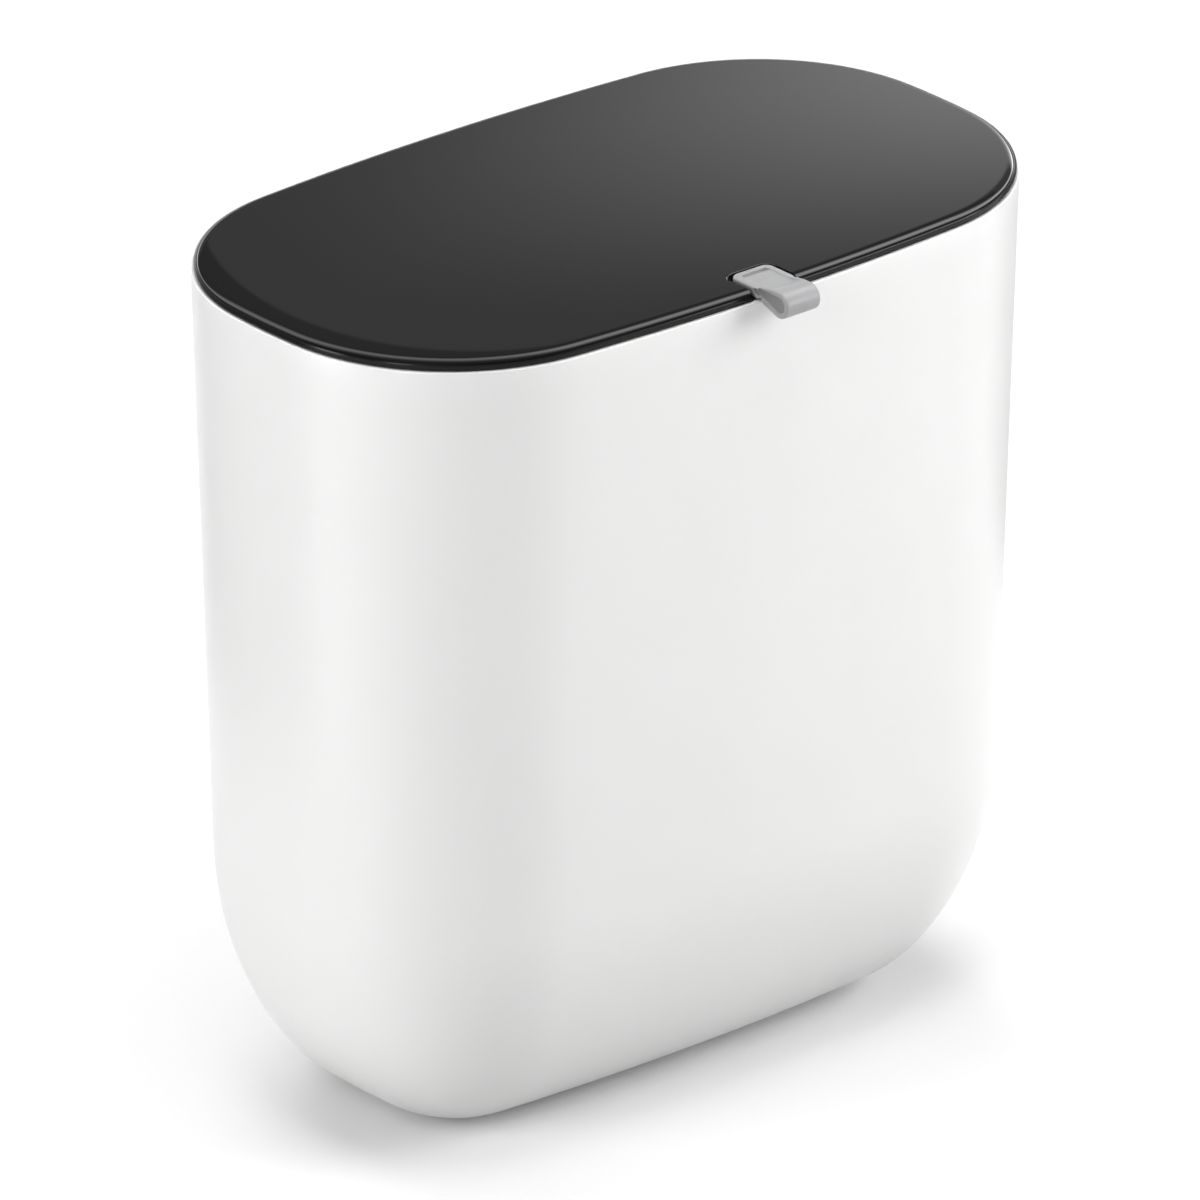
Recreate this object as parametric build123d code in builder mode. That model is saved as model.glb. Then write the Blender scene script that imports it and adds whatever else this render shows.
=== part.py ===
import os
from math import atan2, cos, degrees, hypot, radians, sin, sqrt, tan

from build123d import *

# Wall-mounted oval bin with a flip-up lid. X runs along the bin, the front with the
# pull tab faces -Y, the wall is at +Y, and the bin stands on Z = 0.

# Rim outline seen from above
bin_length = 280.0
bin_depth = 162.6
side_radius = 980.0
end_radius = 262.0
floor_corner_radius = 4.4

# Outer shell
body_height = 281.0
wall_draft = 1.55
foot_reach = 55.3
foot_height = 84.7
shell_wall = 2.0
shell_floor = 2.2
rim_round = 0.5

# Rubber base ring under the shell
ring_proud = 0.5
ring_seat = 1.0
ring_margin = 0.6

# Inner bucket and bag ring
bucket_gap = 6.5
bucket_wall = 1.5
bucket_floor = 1.8
bucket_drop = 13.0
foot_clearance = 0.7
flange_reach = 4.0
flange_thickness = 1.6
flange_turn = 5.0
bag_ring_plate = 1.6
bag_ring_skirt = 1.5
bag_ring_depth = 10.0
bag_ring_fit = 0.5

# Lid
lid_inset = 0.8
lid_gap = 0.6
lid_rise = 3.8
lid_round = 2.0
tape_thickness = 0.4
tape_width = 11.0
undertray_inset = 4.8
undertray_plate = 1.4
undertray_skirt = 1.6
undertray_depth = 6.2
rib_thickness = 1.4
rib_height = 4.0
rib_pitch_x = 48.0
rib_pitch_y = 36.0
ribs_across = 5
ribs_along = 3
seal_inset = 1.3
seal_width = 3.0
seal_clearance = 0.1

# Hinge
hinge_spacing = 90.0
hinge_drop = 5.0
hinge_reach = 3.5
barrel_radius = 3.0
arm_width = 14.0
arm_root = 11.0
arm_drop = 0.2
arm_clearance = 0.3
notch_clearance = 0.6
pin_radius = 1.5
pin_chamfer = 0.3
bush_wall = 0.6
bush_fit = 0.03
ear_thickness = 3.6
bracket_foot = 3.0
bracket_top_drop = 8.0
bracket_height = 26.0
bracket_width = 34.0
bracket_round = 1.0
bracket_screw_rise = 8.0
bracket_screw_margin = 6.0
ear_root_height = 15.6
wall_clearance = 0.7

# Hanger rail on the bin and sheet bracket on the wall
hook_width = 90.0
hook_end_play = 0.6
hook_play = 0.3
hanger_drop = 48.0
hanger_height = 33.0
hanger_back = 3.5
hanger_round = 4.0
hanger_screw_margin = 7.0
hanger_lip = 3.0
hanger_lip_height = 17.0
hanger_lip_round = 1.2
hanger_end = 3.0
hanger_flange = 15.0
sheet_thickness = 2.0
sheet_bend = 1.6
sheet_height = 54.0
sheet_toe = 3.2
sheet_corner = 6.0
hole_rise = 46.0
wall_hole_spacing = 70.0
wall_hole_radius = 2.2
pad_thickness = 1.0
pad_length = 34.0
pad_height = 30.0
pad_margin = 2.0
pad_corner = 2.0

# Lower spacers that keep the hung bin upright
spacer_height = 112.0
spacer_spacing = 84.0
spacer_root_radius = 11.0
spacer_tip_radius = 8.0
spacer_tip_thickness = 3.0
spacer_tip_round = 1.0

# Screws, all of one size on the shell and a smaller one under the tab
screw_radius = 1.5
screw_length = 9.0
screw_head_radius = 2.8
screw_head_height = 1.8
screw_head_round = 0.8
boss_radius = 3.5
boss_depth = 5.0
tab_screw_radius = 1.1
tab_screw_length = 3.6
tab_screw_head_radius = 2.0
tab_screw_head_height = 1.3
tab_screw_head_round = 0.6
tab_screw_spacing = 8.0
tab_screw_setback = 3.6
screw_clearance = 0.15
recess_depth = 0.8
spot_depth = 0.3

# Pull tab
tongue_width = 15.6
tongue_depth = 12.9
tongue_proud = 1.1
tongue_corner = 2.8
tongue_round = 0.6
notch_gap = 0.5
nose_width = 13.6
nose_crest = 1.8
nose_radius = 4.4
nose_length = 13.8
nose_round = 1.2
nose_start = 1.2
nose_wrap = 200.0
cheek_depth = 0.5
cheek_margin = 1.9
cheek_tip_radius = 0.6
thumb_margin = 2.2
thumb_depth = 0.9
thumb_bow = 2.4
thumb_ramp = 4.8
core_plate = 2.2
core_margin = 1.8

# Worked out from the sizes above
half_length = bin_length / 2
half_depth = bin_depth / 2
draft_slope = tan(radians(wall_draft))
floor_reach = foot_reach + body_height * draft_slope
corner_radius = floor_reach + floor_corner_radius
quarter_handle = 4 / 3 * (sqrt(2) - 1)

side_centre = half_depth - side_radius
end_centre = half_length - end_radius
centre_distance = hypot(end_centre, side_centre)
side_gap = side_radius - corner_radius
end_gap = end_radius - corner_radius
along = (centre_distance**2 + side_gap**2 - end_gap**2) / (2 * centre_distance)
across = sqrt(side_gap**2 - along**2)
corner_x = (end_centre * along - side_centre * across) / centre_distance
corner_y = side_centre - (side_centre * along + end_centre * across) / centre_distance
end_angle = degrees(atan2(corner_y, corner_x - end_centre))
side_angle = degrees(atan2(corner_y - side_centre, corner_x))

lid_bottom = body_height + lid_gap
lid_top = body_height + lid_rise
lid_front = lid_inset - half_depth
undertray_top = lid_bottom - tape_thickness
undertray_ceiling = undertray_top - undertray_plate
pin_y = half_depth + hinge_reach
pin_z = body_height - hinge_drop
wall_y = pin_y + (lid_top - pin_z) + wall_clearance
bucket_top = body_height - bucket_drop
bucket_inset = shell_wall + bucket_gap


def inset_at(rim_inset, height):
    """Inset of a drafted wall at a height, for a wall that starts at rim_inset at the rim."""
    return rim_inset + (body_height - height) * draft_slope


def outline(inset):
    """The closed oval, drawn in by inset from the rim's: four long arcs and four corner arcs."""
    corner = corner_radius - inset
    side = side_radius - inset
    end = end_radius - inset
    corner_arc = side_angle - end_angle
    side_arc = 180 - 2 * side_angle
    with BuildLine() as oval_line:
        CenterArc((end_centre, 0), end, 0, end_angle)
        CenterArc((corner_x, corner_y), corner, end_angle, corner_arc)
        CenterArc((0, side_centre), side, side_angle, side_arc)
        CenterArc((-corner_x, corner_y), corner, 180 - side_angle, corner_arc)
        CenterArc((-end_centre, 0), end, 180 - end_angle, 2 * end_angle)
        CenterArc((-corner_x, -corner_y), corner, 180 + end_angle, corner_arc)
        CenterArc((0, -side_centre), side, 180 + side_angle, side_arc)
        CenterArc((corner_x, -corner_y), corner, 360 - side_angle, corner_arc)
        CenterArc((end_centre, 0), end, 360 - end_angle, end_angle)
    return oval_line.wire()


def oval(inset, level):
    """The oval as a face at a level."""
    with BuildSketch(Plane.XY.offset(level)) as oval_face:
        make_face(outline(inset).edges())
    return oval_face.sketch


def oval_ring(outer_inset, inner_inset, level):
    """The band between two insets, at a level."""
    with BuildSketch(Plane.XY.offset(level)) as ring_face:
        make_face(outline(outer_inset).edges())
        make_face(outline(inner_inset).edges(), mode=Mode.SUBTRACT)
    return ring_face.sketch


def foot_curve(rim_inset, floor_level, reach):
    """Control points of the foot: a quarter ellipse sheared to run on from the draft."""
    knee = foot_height - quarter_handle * (foot_height - floor_level)
    sole = reach - quarter_handle * (reach - inset_at(rim_inset, floor_level))
    points = (
        (inset_at(rim_inset, foot_height), foot_height),
        (inset_at(rim_inset, knee), knee),
        (sole, floor_level),
        (reach, floor_level),
    )
    return [(half_length - inset, height) for inset, height in points]


def cup_section(rim_inset, wall, top, floor_level, floor_thickness, reach):
    """Section through a cup's side: drafted wall, rounded foot, edge of the floor."""
    outside = foot_curve(rim_inset, floor_level, reach)
    inside = foot_curve(rim_inset + wall, floor_level + floor_thickness, reach)
    outer_lip = (half_length - inset_at(rim_inset, top), top)
    inner_lip = (half_length - inset_at(rim_inset + wall, top), top)
    with BuildSketch(Plane.XZ) as section:
        with BuildLine():
            Line(outer_lip, outside[0])
            Bezier(*outside)
            Line(outside[3], inside[3])
            Bezier(*reversed(inside))
            Line(inside[0], inner_lip)
            Line(inner_lip, outer_lip)
        make_face()
    return section.sketch


def back_face_y(x, height):
    """Y of the shell's back surface at a place along the bin and a height."""
    radius = side_radius - inset_at(0, height)
    return side_centre + sqrt(radius**2 - x**2)


def shell_screw(axis_plane):
    """A screw of the size that the shell's fittings take."""
    return screw(
        axis_plane,
        screw_radius,
        screw_length,
        screw_head_radius,
        screw_head_height,
        screw_head_round,
    )


def spacer_seat_y(x, height):
    """Y of the flat spot inside the shell where a spacer's screw head sits."""
    return back_face_y(x, height) - shell_wall + spot_depth


def wallward(x, y, z):
    """A plane at a point, square to Y, that faces the wall."""
    return Plane((x, y, z), x_dir=(1, 0, 0), z_dir=(0, 1, 0))


def inward(x, y, z):
    """A plane at a point, square to Y, that faces the inside of the bin."""
    return Plane((x, y, z), x_dir=(1, 0, 0), z_dir=(0, -1, 0))


def screw(axis_plane, radius, length, head_radius, head_height, head_round):
    """A pan-head screw: its head starts at the plane and its shank runs against the normal."""
    with BuildPart(mode=Mode.PRIVATE) as body:
        with BuildSketch(axis_plane):
            Circle(head_radius)
        extrude(amount=head_height)
        head_axis = Axis(axis_plane.origin, axis_plane.z_dir)
        fillet(body.faces().sort_by(head_axis)[-1].edges(), head_round)
        with BuildSketch(axis_plane):
            Circle(radius)
        extrude(amount=-length)
    return body.part


# Places of the fasteners
bracket_top = body_height - bracket_top_drop
bracket_back = back_face_y(hinge_spacing / 2, bracket_top) + bracket_foot
hinge_screw_z = bracket_top - bracket_height + bracket_screw_rise
bracket_screw_reach = bracket_width / 2 - bracket_screw_margin
hinge_screw_places = [
    (side * hinge_spacing / 2 + shift, hinge_screw_z)
    for side in (-1, 1)
    for shift in (-bracket_screw_reach, bracket_screw_reach)
]
hanger_top = body_height - hanger_drop
hanger_bottom = hanger_top - hanger_height
hanger_face = back_face_y(0, hanger_top) + hanger_back
hanger_half = hook_width / 2 + hook_end_play + hanger_end
hanger_screw_places = [
    (side * (hanger_half + hanger_flange / 2), hanger_bottom + rise)
    for side in (-1, 1)
    for rise in (hanger_screw_margin, hanger_height - hanger_screw_margin)
]
spacer_places = [(side * spacer_spacing / 2, spacer_height) for side in (-1, 1)]
spacer_end = wall_y - spacer_tip_thickness
head_seat_bracket = bracket_back - recess_depth
head_seat_hanger = hanger_face - recess_depth

os.makedirs("parts", exist_ok=True)

# Outer shell: one drafted oval moulding with a deep rounded foot
with BuildPart() as outer_shell:
    sweep(
        sections=cup_section(0, shell_wall, body_height, ring_proud, shell_floor, floor_reach),
        path=outline(0),
    )
    extrude(oval(floor_reach, ring_proud), amount=shell_floor)
    rim_edges = outer_shell.edges().group_by(Axis.Z)[-1]
    fillet(rim_edges, rim_round)
    extrude(
        oval_ring(
            floor_reach + ring_margin,
            floor_reach + floor_corner_radius - ring_margin / 2,
            ring_proud,
        ),
        amount=ring_seat,
        mode=Mode.SUBTRACT,
    )
    for screw_x, screw_z in hinge_screw_places + hanger_screw_places:
        boss_start = back_face_y(screw_x, screw_z) - shell_wall / 2
        with BuildSketch(inward(screw_x, boss_start, screw_z)):
            Circle(boss_radius)
        extrude(amount=shell_wall / 2 + boss_depth)
    for screw_x, screw_z in hinge_screw_places:
        with BuildSketch(inward(screw_x, head_seat_bracket, screw_z)):
            Circle(screw_radius)
        extrude(amount=screw_length, mode=Mode.SUBTRACT)
    for screw_x, screw_z in hanger_screw_places:
        with BuildSketch(inward(screw_x, head_seat_hanger, screw_z)):
            Circle(screw_radius)
        extrude(amount=screw_length, mode=Mode.SUBTRACT)
    for spacer_x, spacer_z in spacer_places:
        seat_y = spacer_seat_y(spacer_x, spacer_z)
        with BuildSketch(inward(spacer_x, seat_y, spacer_z)):
            Circle(screw_head_radius + screw_clearance)
        extrude(amount=shell_wall, mode=Mode.SUBTRACT)
        with BuildSketch(wallward(spacer_x, seat_y, spacer_z)):
            Circle(screw_radius)
        extrude(amount=2 * shell_wall, mode=Mode.SUBTRACT)
    notch_floor = pin_z - barrel_radius - notch_clearance
    for side in (-1, 1):
        with Locations((side * hinge_spacing / 2, half_depth, notch_floor)):
            Box(
                arm_width + 2 * notch_clearance,
                2 * arm_root,
                body_height - notch_floor + rim_round,
                align=(Align.CENTER, Align.CENTER, Align.MIN),
                mode=Mode.SUBTRACT,
            )
outer_shell.part.label = "outer_shell"

# Rubber ring in the groove under the floor
with BuildPart() as base_ring:
    extrude(
        oval_ring(
            floor_reach + ring_margin,
            floor_reach + floor_corner_radius - ring_margin / 2,
            0,
        ),
        amount=ring_proud + ring_seat,
    )
base_ring.part.label = "base_ring"

# Lift-out bucket with a turned-down flange to lift it by
bucket_floor_level = ring_proud + shell_floor
bucket_reach = floor_reach + foot_clearance
with BuildPart() as inner_bucket:
    sweep(
        sections=cup_section(
            bucket_inset, bucket_wall, bucket_top, bucket_floor_level, bucket_floor, bucket_reach
        ),
        path=outline(0),
    )
    extrude(oval(bucket_reach, bucket_floor_level), amount=bucket_floor)
    flange_inset = bucket_inset - flange_reach
    wall_inset = inset_at(bucket_inset, bucket_top) + bucket_wall / 2
    extrude(oval_ring(flange_inset, wall_inset, bucket_top - flange_thickness), amount=flange_thickness)
    extrude(
        oval_ring(flange_inset, flange_inset + bucket_wall, bucket_top - flange_turn),
        amount=flange_turn,
    )
inner_bucket.part.label = "inner_bucket"

# Ring that clamps a bag over the bucket's rim
with BuildPart() as bag_ring:
    skirt_inset = inset_at(bucket_inset + bucket_wall, bucket_top - bag_ring_depth) + bag_ring_fit
    extrude(oval_ring(flange_inset, skirt_inset + bag_ring_skirt, bucket_top), amount=bag_ring_plate)
    extrude(
        oval_ring(skirt_inset, skirt_inset + bag_ring_skirt, bucket_top - bag_ring_depth),
        amount=bag_ring_depth + bag_ring_plate / 2,
    )
bag_ring.part.label = "bag_ring"

# The drafted wall as a solid, to shape what is screwed to the back
with BuildPart(mode=Mode.PRIVATE) as wall_form:
    extrude(
        oval(inset_at(0, foot_height), foot_height),
        amount=body_height - foot_height,
        taper=-wall_draft,
    )

# Hinge brackets: a foot that follows the wall, and two ears that hold the pin
for side, bracket_name in ((-1, "hinge_bracket_left"), (1, "hinge_bracket_right")):
    bracket_x = side * hinge_spacing / 2
    with BuildPart() as hinge_bracket:
        with BuildSketch(Plane.XY.offset(bracket_top - bracket_height)) as foot_plan:
            with Locations((bracket_x, bracket_back)):
                Rectangle(bracket_width, barrel_radius + bracket_foot, align=(Align.CENTER, Align.MAX))
        extrude(amount=bracket_height)
        fillet(hinge_bracket.faces().sort_by(Axis.Y)[-1].edges(), bracket_round)
        for ear_side in (-1, 1):
            ear_inner = bracket_x + ear_side * (arm_width / 2 + arm_clearance)
            with BuildSketch(Plane.YZ.offset(ear_inner)):
                with Locations((pin_y, pin_z)):
                    Circle(barrel_radius)
                with Locations((bracket_back, bracket_top)):
                    Rectangle(bracket_foot, ear_root_height, align=(Align.MAX, Align.MAX))
                make_hull()
            extrude(amount=ear_side * ear_thickness)
        with BuildSketch(Plane.YZ.offset(bracket_x)):
            with Locations((pin_y, pin_z)):
                Circle(pin_radius)
        extrude(amount=arm_width, both=True, mode=Mode.SUBTRACT)
        for screw_x, screw_z in hinge_screw_places:
            with BuildSketch(wallward(screw_x, head_seat_bracket, screw_z)):
                Circle(screw_head_radius + screw_clearance)
            extrude(amount=2 * recess_depth, mode=Mode.SUBTRACT)
            with BuildSketch(inward(screw_x, head_seat_bracket, screw_z)):
                Circle(screw_radius)
            extrude(amount=screw_length, mode=Mode.SUBTRACT)
        add(wall_form.part, mode=Mode.SUBTRACT)
    hinge_bracket.part.label = bracket_name
    export_step(hinge_bracket.part, f"parts/{bracket_name}.step")

# Hinge pins, pressed into the ears
for side, pin_name in ((-1, "hinge_pin_left"), (1, "hinge_pin_right")):
    with BuildPart() as hinge_pin:
        with BuildSketch(Plane.YZ.offset(side * hinge_spacing / 2)):
            with Locations((pin_y, pin_z)):
                Circle(pin_radius)
        extrude(amount=arm_width / 2 + arm_clearance + ear_thickness, both=True)
        chamfer(hinge_pin.edges().filter_by(GeomType.CIRCLE), pin_chamfer)
    hinge_pin.part.label = pin_name
    export_step(hinge_pin.part, f"parts/{pin_name}.step")

# Screws of the hinge brackets
with BuildPart() as hinge_screws:
    for screw_x, screw_z in hinge_screw_places:
        add(shell_screw(wallward(screw_x, head_seat_bracket, screw_z)))
hinge_screws.part.label = "hinge_screws"

# Hanger rail: a saddle on the back with a lip that hooks down over the wall bracket
pocket = sheet_thickness + 2 * hook_play
hanger_lip_back = hanger_face + pocket + hanger_lip
with BuildPart() as hanger_rail:
    with BuildSketch(Plane.XY.offset(hanger_bottom)):
        with Locations((0, hanger_face)):
            Rectangle(
                2 * (hanger_half + hanger_flange), 4 * hanger_back, align=(Align.CENTER, Align.MAX)
            )
    extrude(amount=hanger_height)
    fillet(hanger_rail.edges().filter_by(Axis.Y), hanger_round)
    with BuildSketch(Plane.YZ):
        with Locations((hanger_face - hanger_back / 2, hanger_top)):
            Rectangle(
                hanger_lip_back - hanger_face + hanger_back / 2,
                hanger_lip_height + hanger_lip,
                align=(Align.MIN, Align.MAX),
            )
    extrude(amount=hanger_half, both=True)
    lip_edges = hanger_rail.edges().filter_by(Axis.X).group_by(Axis.Y)[-1]
    fillet(lip_edges, hanger_lip_round)
    with BuildSketch(Plane.YZ):
        with Locations((hanger_face, hanger_top - hanger_lip)):
            Rectangle(pocket, hanger_lip_height + hanger_lip, align=(Align.MIN, Align.MAX))
    extrude(amount=hook_width / 2 + hook_end_play, both=True, mode=Mode.SUBTRACT)
    for screw_x, screw_z in hanger_screw_places:
        with BuildSketch(wallward(screw_x, head_seat_hanger, screw_z)):
            Circle(screw_head_radius + screw_clearance)
        extrude(amount=2 * recess_depth, mode=Mode.SUBTRACT)
        with BuildSketch(inward(screw_x, head_seat_hanger, screw_z)):
            Circle(screw_radius)
        extrude(amount=screw_length, mode=Mode.SUBTRACT)
    add(wall_form.part, mode=Mode.SUBTRACT)
hanger_rail.part.label = "hanger_rail"

# Screws of the hanger rail
with BuildPart() as hanger_screws:
    for screw_x, screw_z in hanger_screw_places:
        add(shell_screw(wallward(screw_x, head_seat_hanger, screw_z)))
hanger_screws.part.label = "hanger_screws"

# Spacers low on the back, each with a rubber tip, held by screws from inside the shell
with BuildPart() as rear_spacers:
    for spacer_x, spacer_z in spacer_places:
        root_y = back_face_y(spacer_x, spacer_z) - shell_wall
        with BuildSketch(wallward(spacer_x, root_y, spacer_z)):
            Circle(spacer_root_radius)
        with BuildSketch(wallward(spacer_x, spacer_end, spacer_z)):
            Circle(spacer_tip_radius)
        loft()
        with BuildSketch(wallward(spacer_x, root_y, spacer_z)):
            Circle(screw_radius)
        extrude(amount=screw_length + spot_depth, mode=Mode.SUBTRACT)
    add(wall_form.part, mode=Mode.SUBTRACT)
rear_spacers.part.label = "rear_spacers"

with BuildPart() as spacer_tips:
    for spacer_x, spacer_z in spacer_places:
        with BuildSketch(wallward(spacer_x, spacer_end, spacer_z)):
            Circle(spacer_tip_radius)
        extrude(amount=spacer_tip_thickness)
    fillet(spacer_tips.faces().group_by(Axis.Y)[-1].edges(), spacer_tip_round)
spacer_tips.part.label = "spacer_tips"

with BuildPart() as spacer_screws:
    for spacer_x, spacer_z in spacer_places:
        seat_y = spacer_seat_y(spacer_x, spacer_z)
        add(shell_screw(inward(spacer_x, seat_y, spacer_z)))
spacer_screws.part.label = "spacer_screws"

# Wall bracket: one bent sheet, a plate on the wall and a hook that turns up into the rail
hook_front = hanger_face + hook_play
sheet_back = wall_y - pad_thickness
sheet_front = sheet_back - sheet_thickness
hook_top = hanger_top - hanger_lip - hook_play
hook_web_top = hanger_bottom + sheet_toe
hook_web_bottom = hook_web_top - sheet_thickness
sheet_top = hook_web_bottom + sheet_height
with BuildPart() as wall_bracket:
    with BuildSketch(Plane.YZ) as bend:
        with BuildLine():
            FilletPolyline(
                (hook_front, hook_top),
                (hook_front, hook_web_bottom),
                (sheet_back, hook_web_bottom),
                (sheet_back, sheet_top),
                radius=sheet_bend + sheet_thickness,
            )
            Line((sheet_back, sheet_top), (sheet_front, sheet_top))
            FilletPolyline(
                (sheet_front, sheet_top),
                (sheet_front, hook_web_top),
                (hook_front + sheet_thickness, hook_web_top),
                (hook_front + sheet_thickness, hook_top),
                radius=sheet_bend,
            )
            Line((hook_front + sheet_thickness, hook_top), (hook_front, hook_top))
        make_face()
    extrude(amount=hook_width / 2, both=True)
    fillet(wall_bracket.edges().filter_by(Axis.Y).group_by(Axis.Z)[-1], sheet_corner)
    with BuildSketch(inward(0, sheet_back, hook_web_bottom + hole_rise)):
        with GridLocations(wall_hole_spacing, 1, 2, 1):
            Circle(wall_hole_radius)
    extrude(amount=sheet_thickness, mode=Mode.SUBTRACT)
wall_bracket.part.label = "wall_bracket"

# Adhesive pads behind the bracket
with BuildPart() as adhesive_pads:
    pad_centre_z = hook_web_bottom + sheet_bend + pad_margin + pad_height / 2
    with BuildSketch(inward(0, wall_y, pad_centre_z)):
        with GridLocations(hook_width - pad_length - 2 * pad_margin, 1, 2, 1):
            RectangleRounded(pad_length, pad_height, pad_corner)
    extrude(amount=pad_thickness)
adhesive_pads.part.label = "adhesive_pads"

# Lid panel: a gloss slab with a rounded top edge and a notch for the tab
with BuildPart() as lid_panel:
    extrude(oval(lid_inset, lid_bottom), amount=lid_top - lid_bottom)
    fillet(lid_panel.faces().sort_by(Axis.Z)[-1].edges(), lid_round)
    with BuildSketch(Plane.XY.offset(lid_bottom)) as notch:
        with Locations((0, lid_front + tongue_depth + notch_gap)):
            Rectangle(
                tongue_width + 2 * notch_gap, 2 * tongue_depth, align=(Align.CENTER, Align.MAX)
            )
        fillet(notch.vertices().group_by(Axis.Y)[-1], tongue_corner + notch_gap)
    extrude(amount=lid_top - lid_bottom, mode=Mode.SUBTRACT)
lid_panel.part.label = "lid_panel"

# Places of the tab's screws, behind the undertray's skirt
tab_screw_y = lid_front + tongue_depth - tab_screw_setback
tab_screw_places = [(side * tab_screw_spacing / 2, tab_screw_y) for side in (-1, 1)]

# Undertray: plate, skirt inside the rim, stiffening ribs and the two hinge arms
with BuildPart() as lid_undertray:
    extrude(oval(undertray_inset, undertray_ceiling), amount=undertray_plate)
    extrude(
        oval_ring(
            undertray_inset,
            undertray_inset + undertray_skirt,
            undertray_top - undertray_depth,
        ),
        amount=undertray_depth - undertray_plate / 2,
    )
    with BuildPart(mode=Mode.PRIVATE) as ribs:
        with Locations((0, 0, undertray_ceiling - rib_height)):
            with GridLocations(rib_pitch_x, 1, ribs_across, 1):
                Box(
                    rib_thickness,
                    bin_depth,
                    rib_height + undertray_plate / 2,
                    align=(Align.CENTER, Align.CENTER, Align.MIN),
                )
            with GridLocations(1, rib_pitch_y, 1, ribs_along):
                Box(
                    bin_length,
                    rib_thickness,
                    rib_height + undertray_plate / 2,
                    align=(Align.CENTER, Align.CENTER, Align.MIN),
                )
        extrude(
            oval(undertray_inset + undertray_skirt / 2, undertray_ceiling - rib_height),
            amount=rib_height + undertray_plate / 2,
            mode=Mode.INTERSECT,
        )
    add(ribs.part)
    for side in (-1, 1):
        with BuildSketch(Plane.YZ.offset(side * hinge_spacing / 2)):
            with Locations((pin_y, pin_z)):
                Circle(barrel_radius)
            with Locations((half_depth - arm_root, body_height - arm_drop)):
                Rectangle(
                    arm_root - undertray_inset, undertray_depth, align=(Align.MIN, Align.MAX)
                )
            make_hull()
        extrude(amount=arm_width / 2, both=True)
        with BuildSketch(Plane.YZ.offset(side * hinge_spacing / 2)):
            with Locations((pin_y, pin_z)):
                Circle(pin_radius + bush_fit + bush_wall)
        extrude(amount=arm_width, both=True, mode=Mode.SUBTRACT)
    with BuildSketch(Plane.XY.offset(undertray_top)):
        with Locations(*tab_screw_places):
            Circle(tab_screw_radius + screw_clearance)
    extrude(amount=-undertray_depth, mode=Mode.SUBTRACT)
lid_undertray.part.label = "lid_undertray"

# Bonding tape between undertray and panel
with BuildPart() as panel_tape:
    extrude(
        oval_ring(undertray_inset, undertray_inset + tape_width, undertray_top),
        amount=tape_thickness,
    )
    with BuildSketch(Plane.XY.offset(undertray_top)):
        with Locations(*tab_screw_places):
            Circle(tab_screw_radius + screw_clearance)
    extrude(amount=tape_thickness, mode=Mode.SUBTRACT)
panel_tape.part.label = "panel_tape"

# Flat gasket under the panel's edge, open at the tab
with BuildPart() as lid_seal:
    extrude(
        oval_ring(seal_inset, seal_inset + seal_width, body_height + seal_clearance),
        amount=lid_gap - seal_clearance,
    )
    with Locations((0, lid_front, body_height)):
        Box(
            tongue_width + 2 * notch_gap,
            2 * tongue_depth,
            2 * lid_gap,
            align=(Align.CENTER, Align.CENTER, Align.MIN),
            mode=Mode.SUBTRACT,
        )
lid_seal.part.label = "lid_seal"

# Bushes in the hinge arms
with BuildPart() as hinge_bushes:
    for side in (-1, 1):
        with BuildSketch(Plane.YZ.offset(side * hinge_spacing / 2)):
            with Locations((pin_y, pin_z)):
                Circle(pin_radius + bush_fit + bush_wall)
                Circle(pin_radius + bush_fit, mode=Mode.SUBTRACT)
        extrude(amount=arm_width / 2, both=True)
hinge_bushes.part.label = "hinge_bushes"

# Pull tab: a tongue in the lid's notch that rolls over into a nose in front of the bin
nose_tip_y = lid_front - nose_length + nose_radius
nose_tip_z = lid_top + nose_crest - nose_radius
nose_foot_y = lid_front - nose_start
tongue_top = lid_top + tongue_proud


def nose_profile():
    """Side view of the nose: level back, rounded tip, and an underside that tucks in."""
    tuck = radians(90 + nose_wrap)
    tuck_point = (nose_tip_y + nose_radius * cos(tuck), nose_tip_z + nose_radius * sin(tuck))
    back = (lid_front + nose_start, tongue_top)
    crest = (nose_tip_y, nose_tip_z + nose_radius)
    run = (back[0] - crest[0]) / 2
    with BuildSketch(Plane.YZ.offset(-nose_width / 2)) as side_view:
        with BuildLine():
            Bezier(back, (back[0] - run, back[1]), (crest[0] + run, crest[1]), crest)
            CenterArc((nose_tip_y, nose_tip_z), nose_radius, 90, nose_wrap)
            Line(tuck_point, (nose_foot_y, lid_bottom - nose_start))
            Line((nose_foot_y, lid_bottom - nose_start), (nose_foot_y, lid_bottom))
            Line((nose_foot_y, lid_bottom), (back[0], lid_bottom))
            Line((back[0], lid_bottom), back)
        make_face()
    return side_view.sketch


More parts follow.
